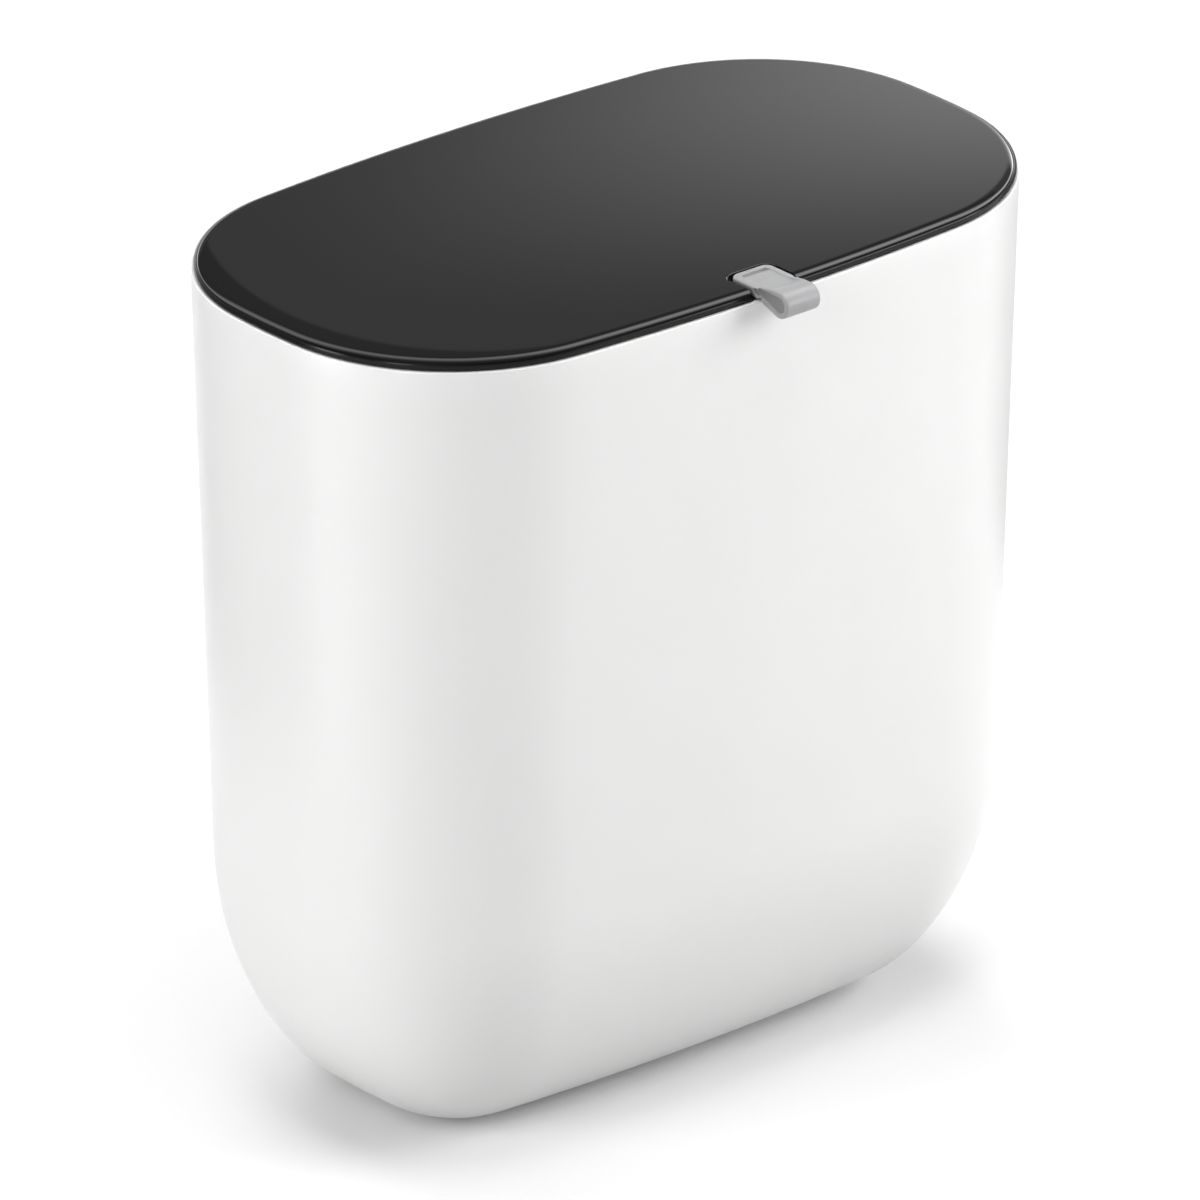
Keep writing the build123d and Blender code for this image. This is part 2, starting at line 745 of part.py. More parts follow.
with BuildPart(mode=Mode.PRIVATE) as thumb_recess:
    thumb_rear = lid_front + tongue_depth - thumb_margin
    thumb_half = nose_width / 2 - thumb_margin / 2
    with BuildSketch(Plane.XY.offset(lid_top - tongue_proud)) as thumb_plan:
        with BuildLine():
            Polyline(
                (-thumb_half, lid_front),
                (-thumb_half, thumb_rear),
                (thumb_half, thumb_rear),
                (thumb_half, lid_front),
            )
            ThreePointArc(
                (thumb_half, lid_front), (0, lid_front - thumb_bow), (-thumb_half, lid_front)
            )
        make_face()
        fillet(thumb_plan.vertices().group_by(Axis.Y)[-1], thumb_margin / 2)
    extrude(amount=2 * tongue_proud + nose_crest)
    with BuildSketch(Plane.YZ):
        with BuildLine():
            Polyline(
                (thumb_rear, tongue_top - thumb_depth),
                (thumb_rear, tongue_top + nose_crest),
                (lid_front - thumb_ramp, tongue_top + nose_crest),
                (lid_front - thumb_ramp, tongue_top + thumb_depth / 4),
                close=True,
            )
        make_face()
    extrude(amount=nose_width, both=True, mode=Mode.INTERSECT)

with BuildPart(mode=Mode.PRIVATE) as nose_form:
    extrude(nose_profile(), amount=nose_width)
    side_edges = nose_form.faces().filter_by(Axis.X).edges()
    nose_end = lid_front - nose_length - nose_round
    fillet(side_edges.filter_by_position(Axis.Y, nose_end, nose_foot_y), nose_round)

with BuildPart() as tab_core:
    cheek_tip = (lid_front - nose_start, lid_top)
    cheek_end = (nose_tip_y + cheek_tip_radius, nose_tip_z - cheek_tip_radius)
    with BuildSketch(Plane.YZ):
        with Locations(cheek_tip):
            Circle(cheek_tip_radius)
        with Locations(cheek_end):
            Circle(nose_radius - cheek_margin)
        make_hull()
    extrude(amount=nose_width / 2 - cheek_depth, both=True)
    with Locations((0, lid_front + tongue_depth - core_margin, lid_bottom)):
        Box(
            tongue_width - 2 * core_margin,
            tongue_depth + nose_start,
            core_plate,
            align=(Align.CENTER, Align.MAX, Align.MIN),
        )
    with BuildSketch(Plane.XY.offset(lid_bottom)):
        with Locations(*tab_screw_places):
            Circle(tab_screw_radius)
    extrude(amount=core_plate, mode=Mode.SUBTRACT)
tab_core.part.label = "tab_core"

with BuildPart() as pull_tab:
    with BuildSketch(Plane.XY.offset(lid_bottom)) as tongue:
        with Locations((0, lid_front + tongue_depth)):
            Rectangle(tongue_width, tongue_depth + nose_start / 2, align=(Align.CENTER, Align.MAX))
        fillet(tongue.vertices().group_by(Axis.Y)[-1], tongue_corner)
    extrude(amount=tongue_top - lid_bottom)
    fillet(pull_tab.faces().sort_by(Axis.Z)[-1].edges(), tongue_round)
    add(nose_form.part)
    add(thumb_recess.part, mode=Mode.SUBTRACT)
    with BuildSketch(Plane.YZ):
        with Locations(cheek_tip):
            Circle(cheek_tip_radius)
        with Locations(cheek_end):
            Circle(nose_radius - cheek_margin)
        make_hull()
    extrude(amount=nose_width, both=True, mode=Mode.SUBTRACT)
    add(tab_core.part, mode=Mode.SUBTRACT)
    with BuildSketch(Plane.XY.offset(lid_bottom)):
        with Locations(*tab_screw_places):
            Circle(tab_screw_radius)
    extrude(amount=core_plate, mode=Mode.SUBTRACT)
pull_tab.part.label = "pull_tab"

# Screws that hold the tab's core from below
with BuildPart() as tab_screws:
    for screw_x, screw_y in tab_screw_places:
        add(
            screw(
                Plane((screw_x, screw_y, undertray_ceiling), x_dir=(1, 0, 0), z_dir=(0, 0, -1)),
                tab_screw_radius,
                tab_screw_length,
                tab_screw_head_radius,
                tab_screw_head_height,
                tab_screw_head_round,
            )
        )
tab_screws.part.label = "tab_screws"

for piece in (
    outer_shell,
    base_ring,
    inner_bucket,
    bag_ring,
    hinge_screws,
    hanger_rail,
    hanger_screws,
    rear_spacers,
    spacer_tips,
    spacer_screws,
    wall_bracket,
    adhesive_pads,
    lid_panel,
    lid_undertray,
    panel_tape,
    lid_seal,
    hinge_bushes,
    tab_core,
    pull_tab,
    tab_screws,
):
    export_step(piece.part, f"parts/{piece.part.label}.step")
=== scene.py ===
"""Looks of a wall-mounted oval bin: fine meshes, finishes, studio and camera.

Everything is in metres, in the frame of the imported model: X runs along the bin, the pull tab
faces -Y, the wall is at +Y and the bin stands on Z = 0.
"""

import logging
import math
from dataclasses import dataclass
from enum import Enum

import bmesh
import bpy
from mathutils import Matrix, Vector


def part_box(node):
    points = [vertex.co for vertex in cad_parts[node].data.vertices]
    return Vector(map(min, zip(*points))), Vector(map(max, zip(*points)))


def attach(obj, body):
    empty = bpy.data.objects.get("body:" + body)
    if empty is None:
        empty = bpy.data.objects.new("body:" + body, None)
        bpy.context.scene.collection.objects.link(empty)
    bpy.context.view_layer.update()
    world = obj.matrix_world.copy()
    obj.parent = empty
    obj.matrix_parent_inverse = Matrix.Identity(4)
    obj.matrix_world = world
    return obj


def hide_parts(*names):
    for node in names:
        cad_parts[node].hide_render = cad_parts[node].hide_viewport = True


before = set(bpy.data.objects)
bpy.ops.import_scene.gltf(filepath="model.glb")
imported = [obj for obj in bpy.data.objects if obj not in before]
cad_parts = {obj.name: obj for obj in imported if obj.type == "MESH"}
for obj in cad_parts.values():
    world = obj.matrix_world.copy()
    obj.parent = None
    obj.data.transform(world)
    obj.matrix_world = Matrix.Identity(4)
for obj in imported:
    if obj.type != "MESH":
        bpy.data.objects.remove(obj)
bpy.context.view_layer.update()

MM = 0.001
SHARP_ANGLE = math.radians(32)
ROUND_ANGLE = math.radians(40)
ROUND_SEGMENTS = 4
NOISE_SPAN = (0.3, 0.7)

log = logging.getLogger("bin")

Colour = tuple[float, float, float]
Point = tuple[float, float]
Place = tuple[float, float, float]
Column = tuple[Point, Point]
Socket = bpy.types.NodeSocket
Inputs = dict[str | int, object]
Object = bpy.types.Object
Material = bpy.types.Material


class Side(Enum):
    """Which long side of the oval a cut-out is on."""

    FRONT = -1
    BACK = 1


class Brushing(Enum):
    """Direction in which a sheet's rolling lines run, as a stretch of the pattern."""

    ALONG_X = (0.02, 1.0, 1.0)
    NONE = (1.0, 1.0, 1.0)


def mm(value: float) -> float:
    """Turn millimetres into metres."""
    return value * MM


# Finishes


class Nodes:
    """A node tree that starts empty, with short calls for the nodes that its users share."""

    def __init__(self, tree: bpy.types.NodeTree) -> None:
        """Clear a tree and keep it."""
        tree.nodes.clear()
        self.tree = tree

    def node(self, kind: str, inputs: Inputs | None = None, **choices: str) -> bpy.types.Node:
        """Add a node.

        Args:
            kind: Type of the node.
            inputs: What goes into its sockets: a socket to link, or a constant.
            choices: Its other settings.

        Returns:
            The node.
        """
        added = self.tree.nodes.new(kind)
        for name, value in choices.items():
            setattr(added, name, value)
        for name, value in (inputs or {}).items():
            if isinstance(value, bpy.types.NodeSocket):
                self.tree.links.new(value, added.inputs[name])
            else:
                added.inputs[name].default_value = value
        return added

    def maths(self, operation: str, first: Socket, second: Socket | float) -> Socket:
        """Combine two values.

        Args:
            operation: Name of the sum that is done.
            first: One value.
            second: The other value.

        Returns:
            The result.
        """
        return self.node("ShaderNodeMath", {0: first, 1: second}, operation=operation).outputs[0]

    def background_rays(self) -> Socket:
        """Pick the rays that show the background: the camera's, and those of gloss and glass.

        Returns:
            1 for such a ray and 0 for any other.
        """
        rays = self.node("ShaderNodeLightPath").outputs
        picked = rays["Is Camera Ray"]
        for kind in ("Is Glossy Ray", "Is Transmission Ray"):
            picked = self.maths("MAXIMUM", picked, rays[kind])
        return picked


class Graph(Nodes):
    """A material's node tree, with the patterns that the finishes share."""

    def __init__(self, name: str) -> None:
        """Start a material.

        Args:
            name: Name of the new material.
        """
        self.material = bpy.data.materials.new(name)
        self.material.use_nodes = True
        super().__init__(self.material.node_tree)
        self.place = self.node("ShaderNodeTexCoord").outputs["Object"]

    def noise(self, size: float, detail: float = 2.0, stretch: Place = (1.0, 1.0, 1.0)) -> Socket:
        """Add a noise pattern.

        Args:
            size: Width of one blotch, in metres.
            detail: Octaves of finer noise.
            stretch: Factor on each axis of the pattern.

        Returns:
            The pattern's value, from 0 to 1.
        """
        inputs = {0: self.place, 1: stretch}
        scaled = self.node("ShaderNodeVectorMath", inputs, operation="MULTIPLY")
        inputs = {"Vector": scaled.outputs["Vector"], "Scale": 1.0 / size, "Detail": detail}
        return self.node("ShaderNodeTexNoise", inputs).outputs["Fac"]

    def ranged(
        self,
        value: Socket,
        low: float,
        high: float,
        start: float = 0.0,
        end: float = 1.0,
        kind: str = "LINEAR",
    ) -> Socket:
        """Map a value onto a range.

        Args:
            value: The value to map.
            low: Result at the start.
            high: Result at the end.
            start: Value that gives the low result.
            end: Value that gives the high result.
            kind: How the result runs in between.

        Returns:
            The mapped value.
        """
        inputs = {"Value": value, "From Min": start, "From Max": end, "To Min": low, "To Max": high}
        return self.node("ShaderNodeMapRange", inputs, interpolation_type=kind).outputs["Result"]

    def eased(self, value: Socket, start: float, end: float, top: float = 1.0) -> Socket:
        """Map a value onto a smooth rise from nothing."""
        return self.ranged(value, 0.0, top, start, end, "SMOOTHSTEP")

    def about(self, pattern: Socket, middle: float, less: float, more: float) -> Socket:
        """Vary a value round its middle over a noise pattern.

        Args:
            pattern: The noise pattern.
            middle: The middle value.
            less: How far it goes under the middle.
            more: How far it goes over it.

        Returns:
            The varied value.
        """
        return self.ranged(pattern, middle - less, middle + more, *NOISE_SPAN)

    def blended(self, amount: Socket, first: Colour, second: Colour) -> Socket:
        """Mix two colours.

        Args:
            amount: Share of the second colour.
            first: Colour at 0.
            second: Colour at 1.

        Returns:
            The mixed colour.
        """
        inputs = {"Factor": amount, "A": (*first, 1.0), "B": (*second, 1.0)}
        return self.node("ShaderNodeMix", inputs, data_type="RGBA").outputs["Result"]

    def mottled(
        self, pattern: Socket, colour: Colour, dark: float, light: float, span: Point = NOISE_SPAN
    ) -> Socket:
        """Vary a colour's lightness over a noise pattern.

        Args:
            pattern: The noise pattern.
            colour: The colour.
            dark: Factor on the colour where it is darkest.
            light: Factor where it is lightest.
            span: Values of the pattern between which the lightness runs.

        Returns:
            The varied colour.
        """
        amount = self.ranged(pattern, 0.0, 1.0, *span)
        return self.blended(amount, tinted(colour, dark), tinted(colour, light))

    def along(self, direction: Place) -> Socket:
        """Distance along a direction, from the object's origin.

        Args:
            direction: A unit vector.

        Returns:
            The distance.
        """
        inputs = {0: self.place, 1: direction}
        return self.node("ShaderNodeVectorMath", inputs, operation="DOT_PRODUCT").outputs["Value"]

    def from_centre(self, centre: Point, half: Point, turn: float = 0.0) -> Socket:
        """Distance from the middle of an oval in the object's plane, as a share of its half size.

        Args:
            centre: Middle of the oval.
            half: Half its length and half its width.
            turn: Turn of its length from the X axis, in radians.

        Returns:
            The share, 1 on the oval's edge.
        """
        inputs = {
            "Vector": self.place,
            "Location": (*centre, 0.0),
            "Rotation": (0.0, 0.0, turn),
            "Scale": (*half, 1.0),
        }
        mapping = self.node("ShaderNodeMapping", inputs, vector_type="TEXTURE")
        inputs = {0: mapping.outputs["Vector"]}
        return self.node("ShaderNodeVectorMath", inputs, operation="LENGTH").outputs["Value"]

    def bump(self, height: Socket, depth: float, under: Socket | None = None) -> Socket:
        """Turn a height pattern into a bumped normal.

        Args:
            height: The pattern.
            depth: Height of the pattern from 0 to 1, in metres.
            under: A normal that the bump is laid over.

        Returns:
            The bumped normal.
        """
        inputs = {"Height": height, "Strength": 1.0, "Distance": depth}
        if under is not None:
            inputs["Normal"] = under
        return self.node("ShaderNodeBump", inputs).outputs["Normal"]

    def finished(self, inputs: Inputs, kind: str = "ShaderNodeBsdfPrincipled") -> Material:
        """Close the material with its shader.

        Args:
            inputs: What goes into the shader's sockets.
            kind: Type of the shader.

        Returns:
            The material.
        """
        shader = self.node(kind, inputs)
        self.node("ShaderNodeOutputMaterial", {"Surface": shader.outputs[0]})
        return self.material


def tinted(colour: Colour, factor: float) -> Colour:
    """Make a colour lighter or darker by a factor."""
    red, green, blue = (min(1.0, part * factor) for part in colour)
    return red, green, blue


@dataclass(frozen=True)
class MouldedPlastic:
    """Moulded plastic with a spark-eroded grain and faint flow marks.

    Attributes:
        name: Name of the material.
        colour: Base colour.
        roughness: Middle roughness.
        grain: Width of the grain, in metres.
        relief: Height of the grain, in metres.
        mottle: Share by which the colour varies over the flow marks.
        gloss: Specular level.
        spread: How far the roughness varies to each side.
        flow_width: Width of the flow marks.
        flow_stretch: Their stretch, longer up the wall.
        patch_width: Width of the patches of other roughness.
        wave_width: Width of the shallow waves under the grain.
        wave_share: Height of these waves as a multiple of the grain's.
    """

    name: str
    colour: Colour
    roughness: float
    grain: float = mm(0.5)
    relief: float = mm(0.004)
    mottle: float = 0.03
    gloss: float = 0.5
    spread: float = 0.04
    flow_width: float = mm(45)
    flow_stretch: Place = (1.0, 1.0, 0.45)
    patch_width: float = mm(9)
    wave_width: float = mm(30)
    wave_share: float = 4.0

    def build(self) -> Material:
        """Build the material."""
        graph = Graph(self.name)
        flow = graph.noise(self.flow_width, detail=3.0, stretch=self.flow_stretch)
        patches = graph.noise(self.patch_width, detail=4.0)
        swell = graph.noise(self.wave_width, detail=1.0)
        waves = graph.bump(swell, self.relief * self.wave_share)
        dark, light = 1 - self.mottle, 1 + self.mottle / 2
        return graph.finished(
            {
                "Base Color": graph.mottled(flow, self.colour, dark, light),
                "Roughness": graph.about(patches, self.roughness, self.spread, self.spread),
                "Normal": graph.bump(graph.noise(self.grain), self.relief, waves),
                "Specular IOR Level": self.gloss,
            }
        )


@dataclass(frozen=True)
class GlossPanel:
    """Polished black panel with hairline marks that show only in its reflections.

    Attributes:
        name: Name of the material.
        colour: Base colour.
        roughness: Roughness of the clean polish.
        hairlines: Roughness that the marks add.
        gloss: Specular level.
        cloud_width: Width of the faint clouds in the colour.
        cloud: Share by which they vary it.
        wipe_width: Width of the wiped marks.
        wipe_stretch: Their stretch, longer along the lid.
        wipe_span: Values of the pattern between which the marks come up.
        swirl_width: Width of the swells in the surface.
        swirl_height: Their height.
    """

    name: str
    colour: Colour
    roughness: float
    hairlines: float
    gloss: float = 0.5
    cloud_width: float = mm(60)
    cloud: float = 0.1
    wipe_width: float = mm(14)
    wipe_stretch: Place = (0.25, 1.0, 1.0)
    wipe_span: Point = (0.45, 0.8)
    swirl_width: float = mm(70)
    swirl_height: float = mm(0.002)

    def build(self) -> Material:
        """Build the material."""
        graph = Graph(self.name)
        dark, light = (tinted(self.colour, 1 + side * self.cloud) for side in (-1, 1))
        wiped = graph.noise(self.wipe_width, detail=3.0, stretch=self.wipe_stretch)
        swirl = graph.noise(self.swirl_width, detail=1.0)
        worn = self.roughness + self.hairlines
        return graph.finished(
            {
                "Base Color": graph.blended(graph.noise(self.cloud_width), dark, light),
                "Roughness": graph.ranged(wiped, self.roughness, worn, *self.wipe_span),
                "Normal": graph.bump(swirl, self.swirl_height),
                "Specular IOR Level": self.gloss,
            }
        )


@dataclass(frozen=True)
class Elastomer:
    """Soft rubber or overmoulded grip with a matt bloom.

    Attributes:
        name: Name of the material.
        colour: Base colour.
        roughness: Middle roughness.
        bloom: Share by which the colour varies.
        depth: How far light goes in, in metres.
        softness: Share of the light that goes in, where it goes in at all.
        spread: How far the roughness varies to each side.
        bloom_width: Width of the clouds of bloom.
        dust_width: Width of the specks of other roughness.
        skin_width: Width of the skin's grain.
        skin_height: Height of the skin's grain.
    """

    name: str
    colour: Colour
    roughness: float
    bloom: float = 0.05
    depth: float = 0.0
    softness: float = 0.15
    spread: float = 0.06
    bloom_width: float = mm(6)
    dust_width: float = mm(0.8)
    skin_width: float = mm(0.25)
    skin_height: float = mm(0.004)

    def build(self) -> Material:
        """Build the material."""
        graph = Graph(self.name)
        clouds = graph.noise(self.bloom_width, detail=4.0)
        dust = graph.noise(self.dust_width, detail=3.0)
        inputs = {
            "Base Color": graph.mottled(clouds, self.colour, 1 - self.bloom, 1 + self.bloom),
            "Roughness": graph.about(dust, self.roughness, self.spread, self.spread),
            "Normal": graph.bump(graph.noise(self.skin_width), self.skin_height),
        }
        if self.depth:
            inputs |= {"Subsurface Weight": self.softness, "Subsurface Scale": self.depth}
        return graph.finished(inputs)


@dataclass(frozen=True)
class Metal:
    """Sheet or turned steel with rolling lines and a thin zinc bloom.

    Attributes:
        name: Name of the material.
        colour: Base colour.
        roughness: Middle roughness.
        brushing: Direction of the lines.
        bloom_width: Width of the clouds of bloom.
        bloom: Factors on the colour where the bloom is darkest and lightest.
        bloom_span: Values of the pattern between which the bloom runs.
        line_width: Width of the lines.
        line_height: Height of the lines.
        smoother: How much smoother than the middle a line is at most.
        rougher: How much rougher it is at most.
    """

    name: str
    colour: Colour
    roughness: float
    brushing: Brushing = Brushing.NONE
    bloom_width: float = mm(7)
    bloom: Point = (0.86, 1.05)
    bloom_span: Point = (0.35, 0.65)
    line_width: float = mm(0.3)
    line_height: float = mm(0.003)
    smoother: float = 0.08
    rougher: float = 0.1

    def build(self) -> Material:
        """Build the material."""
        graph = Graph(self.name)
        clouds = graph.noise(self.bloom_width, detail=5.0)
        lines = graph.noise(self.line_width, detail=3.0, stretch=self.brushing.value)
        return graph.finished(
            {
                "Base Color": graph.mottled(clouds, self.colour, *self.bloom, self.bloom_span),
                "Roughness": graph.about(lines, self.roughness, self.smoother, self.rougher),
                "Normal": graph.bump(lines, self.line_height),
                "Metallic": 1.0,
            }
        )


@dataclass(frozen=True)
class FoamTape:
    """Closed-cell foam with open pores on the surface, its colour darker in the pores as painted
    shade and lighter between them as painted light.

    Attributes:
        name: Name of the material.
        colour: Base colour.
        roughness: Roughness.
        cell_width: Width of a cell.
        cell_depth: Depth of a pore.
        pore_shade: Factor on the colour in a pore, a painted shade.
        crest_light: Factor on the colour between the pores, a painted light.
    """

    name: str
    colour: Colour
    roughness: float = 0.9
    cell_width: float = mm(0.35)
    cell_depth: float = mm(0.05)
    pore_shade: float = 0.7
    crest_light: float = 1.1

    def build(self) -> Material:
        """Build the material."""
        graph = Graph(self.name)
        inputs = {"Vector": graph.place, "Scale": 1.0 / self.cell_width}
        pores = graph.node("ShaderNodeTexVoronoi", inputs).outputs["Distance"]
        # Pores darker and the crests between them lighter: painted shade and painted light.
        dark, light = tinted(self.colour, self.pore_shade), tinted(self.colour, self.crest_light)
        return graph.finished(
            {
                "Base Color": graph.blended(pores, dark, light),
                "Normal": graph.bump(pores, self.cell_depth),
                "Roughness": self.roughness,
            }
        )


class Finishes:
    """The bin's finishes, each built once."""

    def __init__(self) -> None:
        """Build every finish."""
        self.shell = MouldedPlastic(
            "satin_white", (0.83, 0.83, 0.826), 0.33, mottle=0.012, gloss=1.0
        ).build()
        self.lid = GlossPanel("gloss_black", (0.012, 0.012, 0.0125), 0.012, 0.01).build()
        # A darker, duller copy of the gloss black, which paints shade onto the lid's side.
        self.lid_shaded_side = GlossPanel("shaded_side_black", (0.006, 0.006, 0.006), 0.16, 0.05, 0.16).build()
        self.undertray = MouldedPlastic(
            "tray_black", (0.02, 0.02, 0.021), 0.5, mm(0.7), mm(0.012)
        ).build()
        self.tab = Elastomer("grip_grey", (0.35, 0.35, 0.355), 0.34, 0.02, mm(0.6)).build()
        # Darker grey for the core at the cheeks: partly the core's own grey, partly painted shade
        # in the cheek hollows.
        self.core = MouldedPlastic(
            "core_grey", (0.215, 0.215, 0.22), 0.5, mm(0.4), mm(0.006)
        ).build()
        self.bucket = MouldedPlastic(
            "bucket_grey", (0.33, 0.34, 0.35), 0.46, mm(0.8), mm(0.01)
        ).build()
        self.ring = MouldedPlastic(
            "ring_grey", (0.16, 0.165, 0.17), 0.42, mm(0.5), mm(0.006)
        ).build()
        self.rubber = Elastomer("rubber_dark", (0.03, 0.03, 0.031), 0.7, 0.12).build()
        # A real seal whose near-black colour, darker than the other rubber, also paints the shadow
        # in the gap under the lid.
        self.seal_and_gap_shade = Elastomer("seal_and_gap_shade_black", (0.004, 0.004, 0.004), 0.85, 0.2).build()
        self.hinge = MouldedPlastic(
            "hinge_black", (0.018, 0.018, 0.019), 0.38, mm(0.5), mm(0.008)
        ).build()
        self.rail = MouldedPlastic(
            "rail_white", (0.78, 0.78, 0.775), 0.45, mm(0.6), mm(0.006)
        ).build()
        self.sheet = Metal("zinc_sheet", (0.62, 0.63, 0.645), 0.36, Brushing.ALONG_X).build()
        self.steel = Metal("steel_bright", (0.6, 0.6, 0.61), 0.28).build()
        self.foam = FoamTape("foam_grey", (0.32, 0.32, 0.33)).build()


def dress(piece: Object, material: Material) -> None:
    """Give every face of a piece one material through its object's slots.

    Args:
        piece: The object to dress.
        material: The material for all of its slots.
    """
    if not piece.material_slots:
        piece.data.materials.append(material)
    for place in piece.material_slots:
        place.link = "OBJECT"
        place.material = material


# Shared shapes


@dataclass(frozen=True)
class OvalPlan:
    """The bin's plan: two long arcs, two end arcs and four corner arcs, all tangent.

    Attributes:
        length: Length over the ends at the rim.
        depth: Depth over the sides at the rim.
        side_radius: Radius of the long sides.
        end_radius: Radius of the ends.
        corner_radius: Radius of the corners.
        turn_step: Widest turn between two columns, in degrees.
        run_step: Longest run between two columns.
        fewest: Fewest columns in an arc.
    """

    length: float
    depth: float
    side_radius: float
    end_radius: float
    corner_radius: float
    turn_step: float = 2.2
    run_step: float = mm(7)
    fewest: int = 6

    def corner_centre(self) -> Point:
        """Find the centre of the corner at +X, +Y, whose arc touches a side's and an end's.

        Returns:
            The centre.
        """
        side_centre = self.depth / 2 - self.side_radius
        end_centre = self.length / 2 - self.end_radius
        reach = math.hypot(end_centre, side_centre)
        side_gap = self.side_radius - self.corner_radius
        end_gap = self.end_radius - self.corner_radius
        along = (reach**2 + side_gap**2 - end_gap**2) / (2 * reach)
        across = math.sqrt(side_gap**2 - along**2)
        return (
            (end_centre * along - side_centre * across) / reach,
            side_centre - (side_centre * along + end_centre * across) / reach,
        )

    def quarter(self, stops: list[float]) -> list[Column]:
        """Walk the quarter from the +X end to the middle of the +Y side.

        Args:
            stops: Distances from the middle, on the side, where a column has to stand.

        Returns:
            Points on the rim, each with its outward normal, without the last one at the middle.
        """
        side_centre = self.depth / 2 - self.side_radius
        end_centre = self.length / 2 - self.end_radius
        corner_x, corner_y = self.corner_centre()
        end_turn = math.atan2(corner_y, corner_x - end_centre)
        side_turn = math.atan2(corner_y - side_centre, corner_x)
        arcs = (
            (end_centre, 0.0, self.end_radius, 0.0, end_turn, []),
            (corner_x, corner_y, self.corner_radius, end_turn, side_turn, []),
            (0.0, side_centre, self.side_radius, side_turn, math.pi / 2, stops),
        )
        walked = []
        for centre_x, centre_y, radius, start, end, marks in arcs:
            by_turn = math.ceil(math.degrees(end - start) / self.turn_step)
            by_run = round(radius * (end - start) / self.run_step)
            count = max(self.fewest, by_turn, by_run)
            turns = [start + (end - start) * i / count for i in range(count)]
            turns += [math.acos(mark / radius) for mark in marks]
            for turn in sorted(turns):
                across, up = math.cos(turn), math.sin(turn)
                point = (centre_x + radius * across, centre_y + radius * up)
                walked.append((point, (across, up)))
        return walked

    def columns(self, front: list[float], back: list[float]) -> list[Column]:
        """Walk the whole rim, anticlockwise from the +X end.

        Args:
            front: Distances from the middle of the front side where columns have to stand.
            back: The same for the back side.

        Returns:
            Points on the rim, each with its outward normal.
        """
        middle = ((0.0, self.depth / 2), (0.0, 1.0))
        back_half = self.quarter(back)
        front_half = self.quarter(front)
        walk = [*back_half, middle]
        walk += [((-x, y), (-u, v)) for (x, y), (u, v) in reversed(back_half)]
        walk += [((-x, -y), (-u, -v)) for (x, y), (u, v) in front_half[1:]]
        walk += [((0.0, -self.depth / 2), (0.0, -1.0))]
        walk += [((x, -y), (u, -v)) for (x, y), (u, v) in reversed(front_half[1:])]
        return walk


@dataclass
class Gap:
    """A cut-out in a swept wall, square to the wall, between two columns.

    Attributes:
        side: Side of the oval that it is on.
        left: Lower X of the cut-out.
        right: Higher X of the cut-out.
        first: Row where the cut-out starts.
        last: Row where it ends.
        margin: How near to an edge a point counts as on it.
    """

    side: Side
    left: float
    right: float
    first: int
    last: int
    margin: float = mm(0.01)

    def holds(self, point: Point) -> bool:
        """Tell whether a rim point lies strictly inside the cut-out."""
        inside = self.left + self.margin < point[0] < self.right - self.margin
        return inside and point[1] * self.side.value > 0

    def bounds(self, point: Point) -> bool:
        """Tell whether a rim point lies in the cut-out or on its edge."""
        inside = self.left - self.margin < point[0] < self.right + self.margin
        return inside and point[1] * self.side.value > 0


class Sweep:
    """A section carried round the oval, one row for each section point."""

    def __init__(self, columns: list[Column], section: list[Point]) -> None:
        """Place the vertices.

        Args:
            columns: Rim points with their outward normals.
            section: Inset and height of each row.
        """
        self.columns = columns
        self.mesh = bmesh.new()
        self.rows = [
            [
                self.mesh.verts.new((x - u * inset, y - v * inset, height))
                for (x, y), (u, v) in columns
            ]
            for inset, height in section
        ]

    def face(self, *corners: bmesh.types.BMVert) -> None:
        """Add one face."""
        self.mesh.faces.new(corners)

    def wall(self, gaps: list[Gap]) -> None:
        """Join the rows with quads, leaving the cut-outs open.

        Args:
            gaps: Cut-outs in the wall.
        """
        count = len(self.columns)
        for row, (lower, upper) in enumerate(zip(self.rows, self.rows[1:])):
            for i in range(count):
                j = (i + 1) % count
                cut = any(
                    gap.first <= row < gap.last
                    and gap.bounds(self.columns[i][0])
                    and gap.bounds(self.columns[j][0])
                    for gap in gaps
                )
                if not cut:
                    self.face(lower[i], lower[j], upper[j], upper[i])

    def close(self, gap: Gap) -> None:
        """Close the floor and the two ends of a cut-out through a wall.

        Args:
            gap: The cut-out.
        """
        count = len(self.columns)
        edge = [i for i in range(count) if gap.bounds(self.columns[i][0])]
        lower, upper = self.rows[gap.first], self.rows[gap.last]
        for i in edge:
            j = (i + 1) % count
            if j in edge:
                self.face(lower[i], lower[j], upper[j], upper[i])
        ends = [i for i in edge if not gap.holds(self.columns[i][0])]
        for i in ends:
            self.face(*[self.rows[row][i] for row in range(gap.first, gap.last + 1)])

    def cap(self, row: int) -> None:
        """Close the oval at one row with a flat face."""
        self.face(*self.rows[row])

    def finish(self, name: str) -> Object:
        """Turn the sweep into an object.

        Args:
            name: Name of the object.

        Returns:
            The new object.
        """
        loose = [vert for vert in self.mesh.verts if not vert.link_faces]
        bmesh.ops.delete(self.mesh, geom=loose, context="VERTS")
        return object_from(self.mesh, name)


def object_from(mesh: bmesh.types.BMesh, name: str) -> Object:
    """Turn a bmesh into a smooth-shaded object with sharp edges where faces turn.

    Args:
        mesh: The faces; it is freed.
        name: Name of the object.

    Returns:
        The new object, linked to the scene.
    """
    bmesh.ops.recalc_face_normals(mesh, faces=mesh.faces)
    for face in mesh.faces:
        face.smooth = True
    for edge in mesh.edges:
        edge.smooth = edge.is_manifold and edge.calc_face_angle(0.0) < SHARP_ANGLE
    data = bpy.data.meshes.new(name)
    mesh.to_mesh(data)
    mesh.free()
    piece = bpy.data.objects.new(name, data)
    bpy.context.scene.collection.objects.link(piece)
    return piece


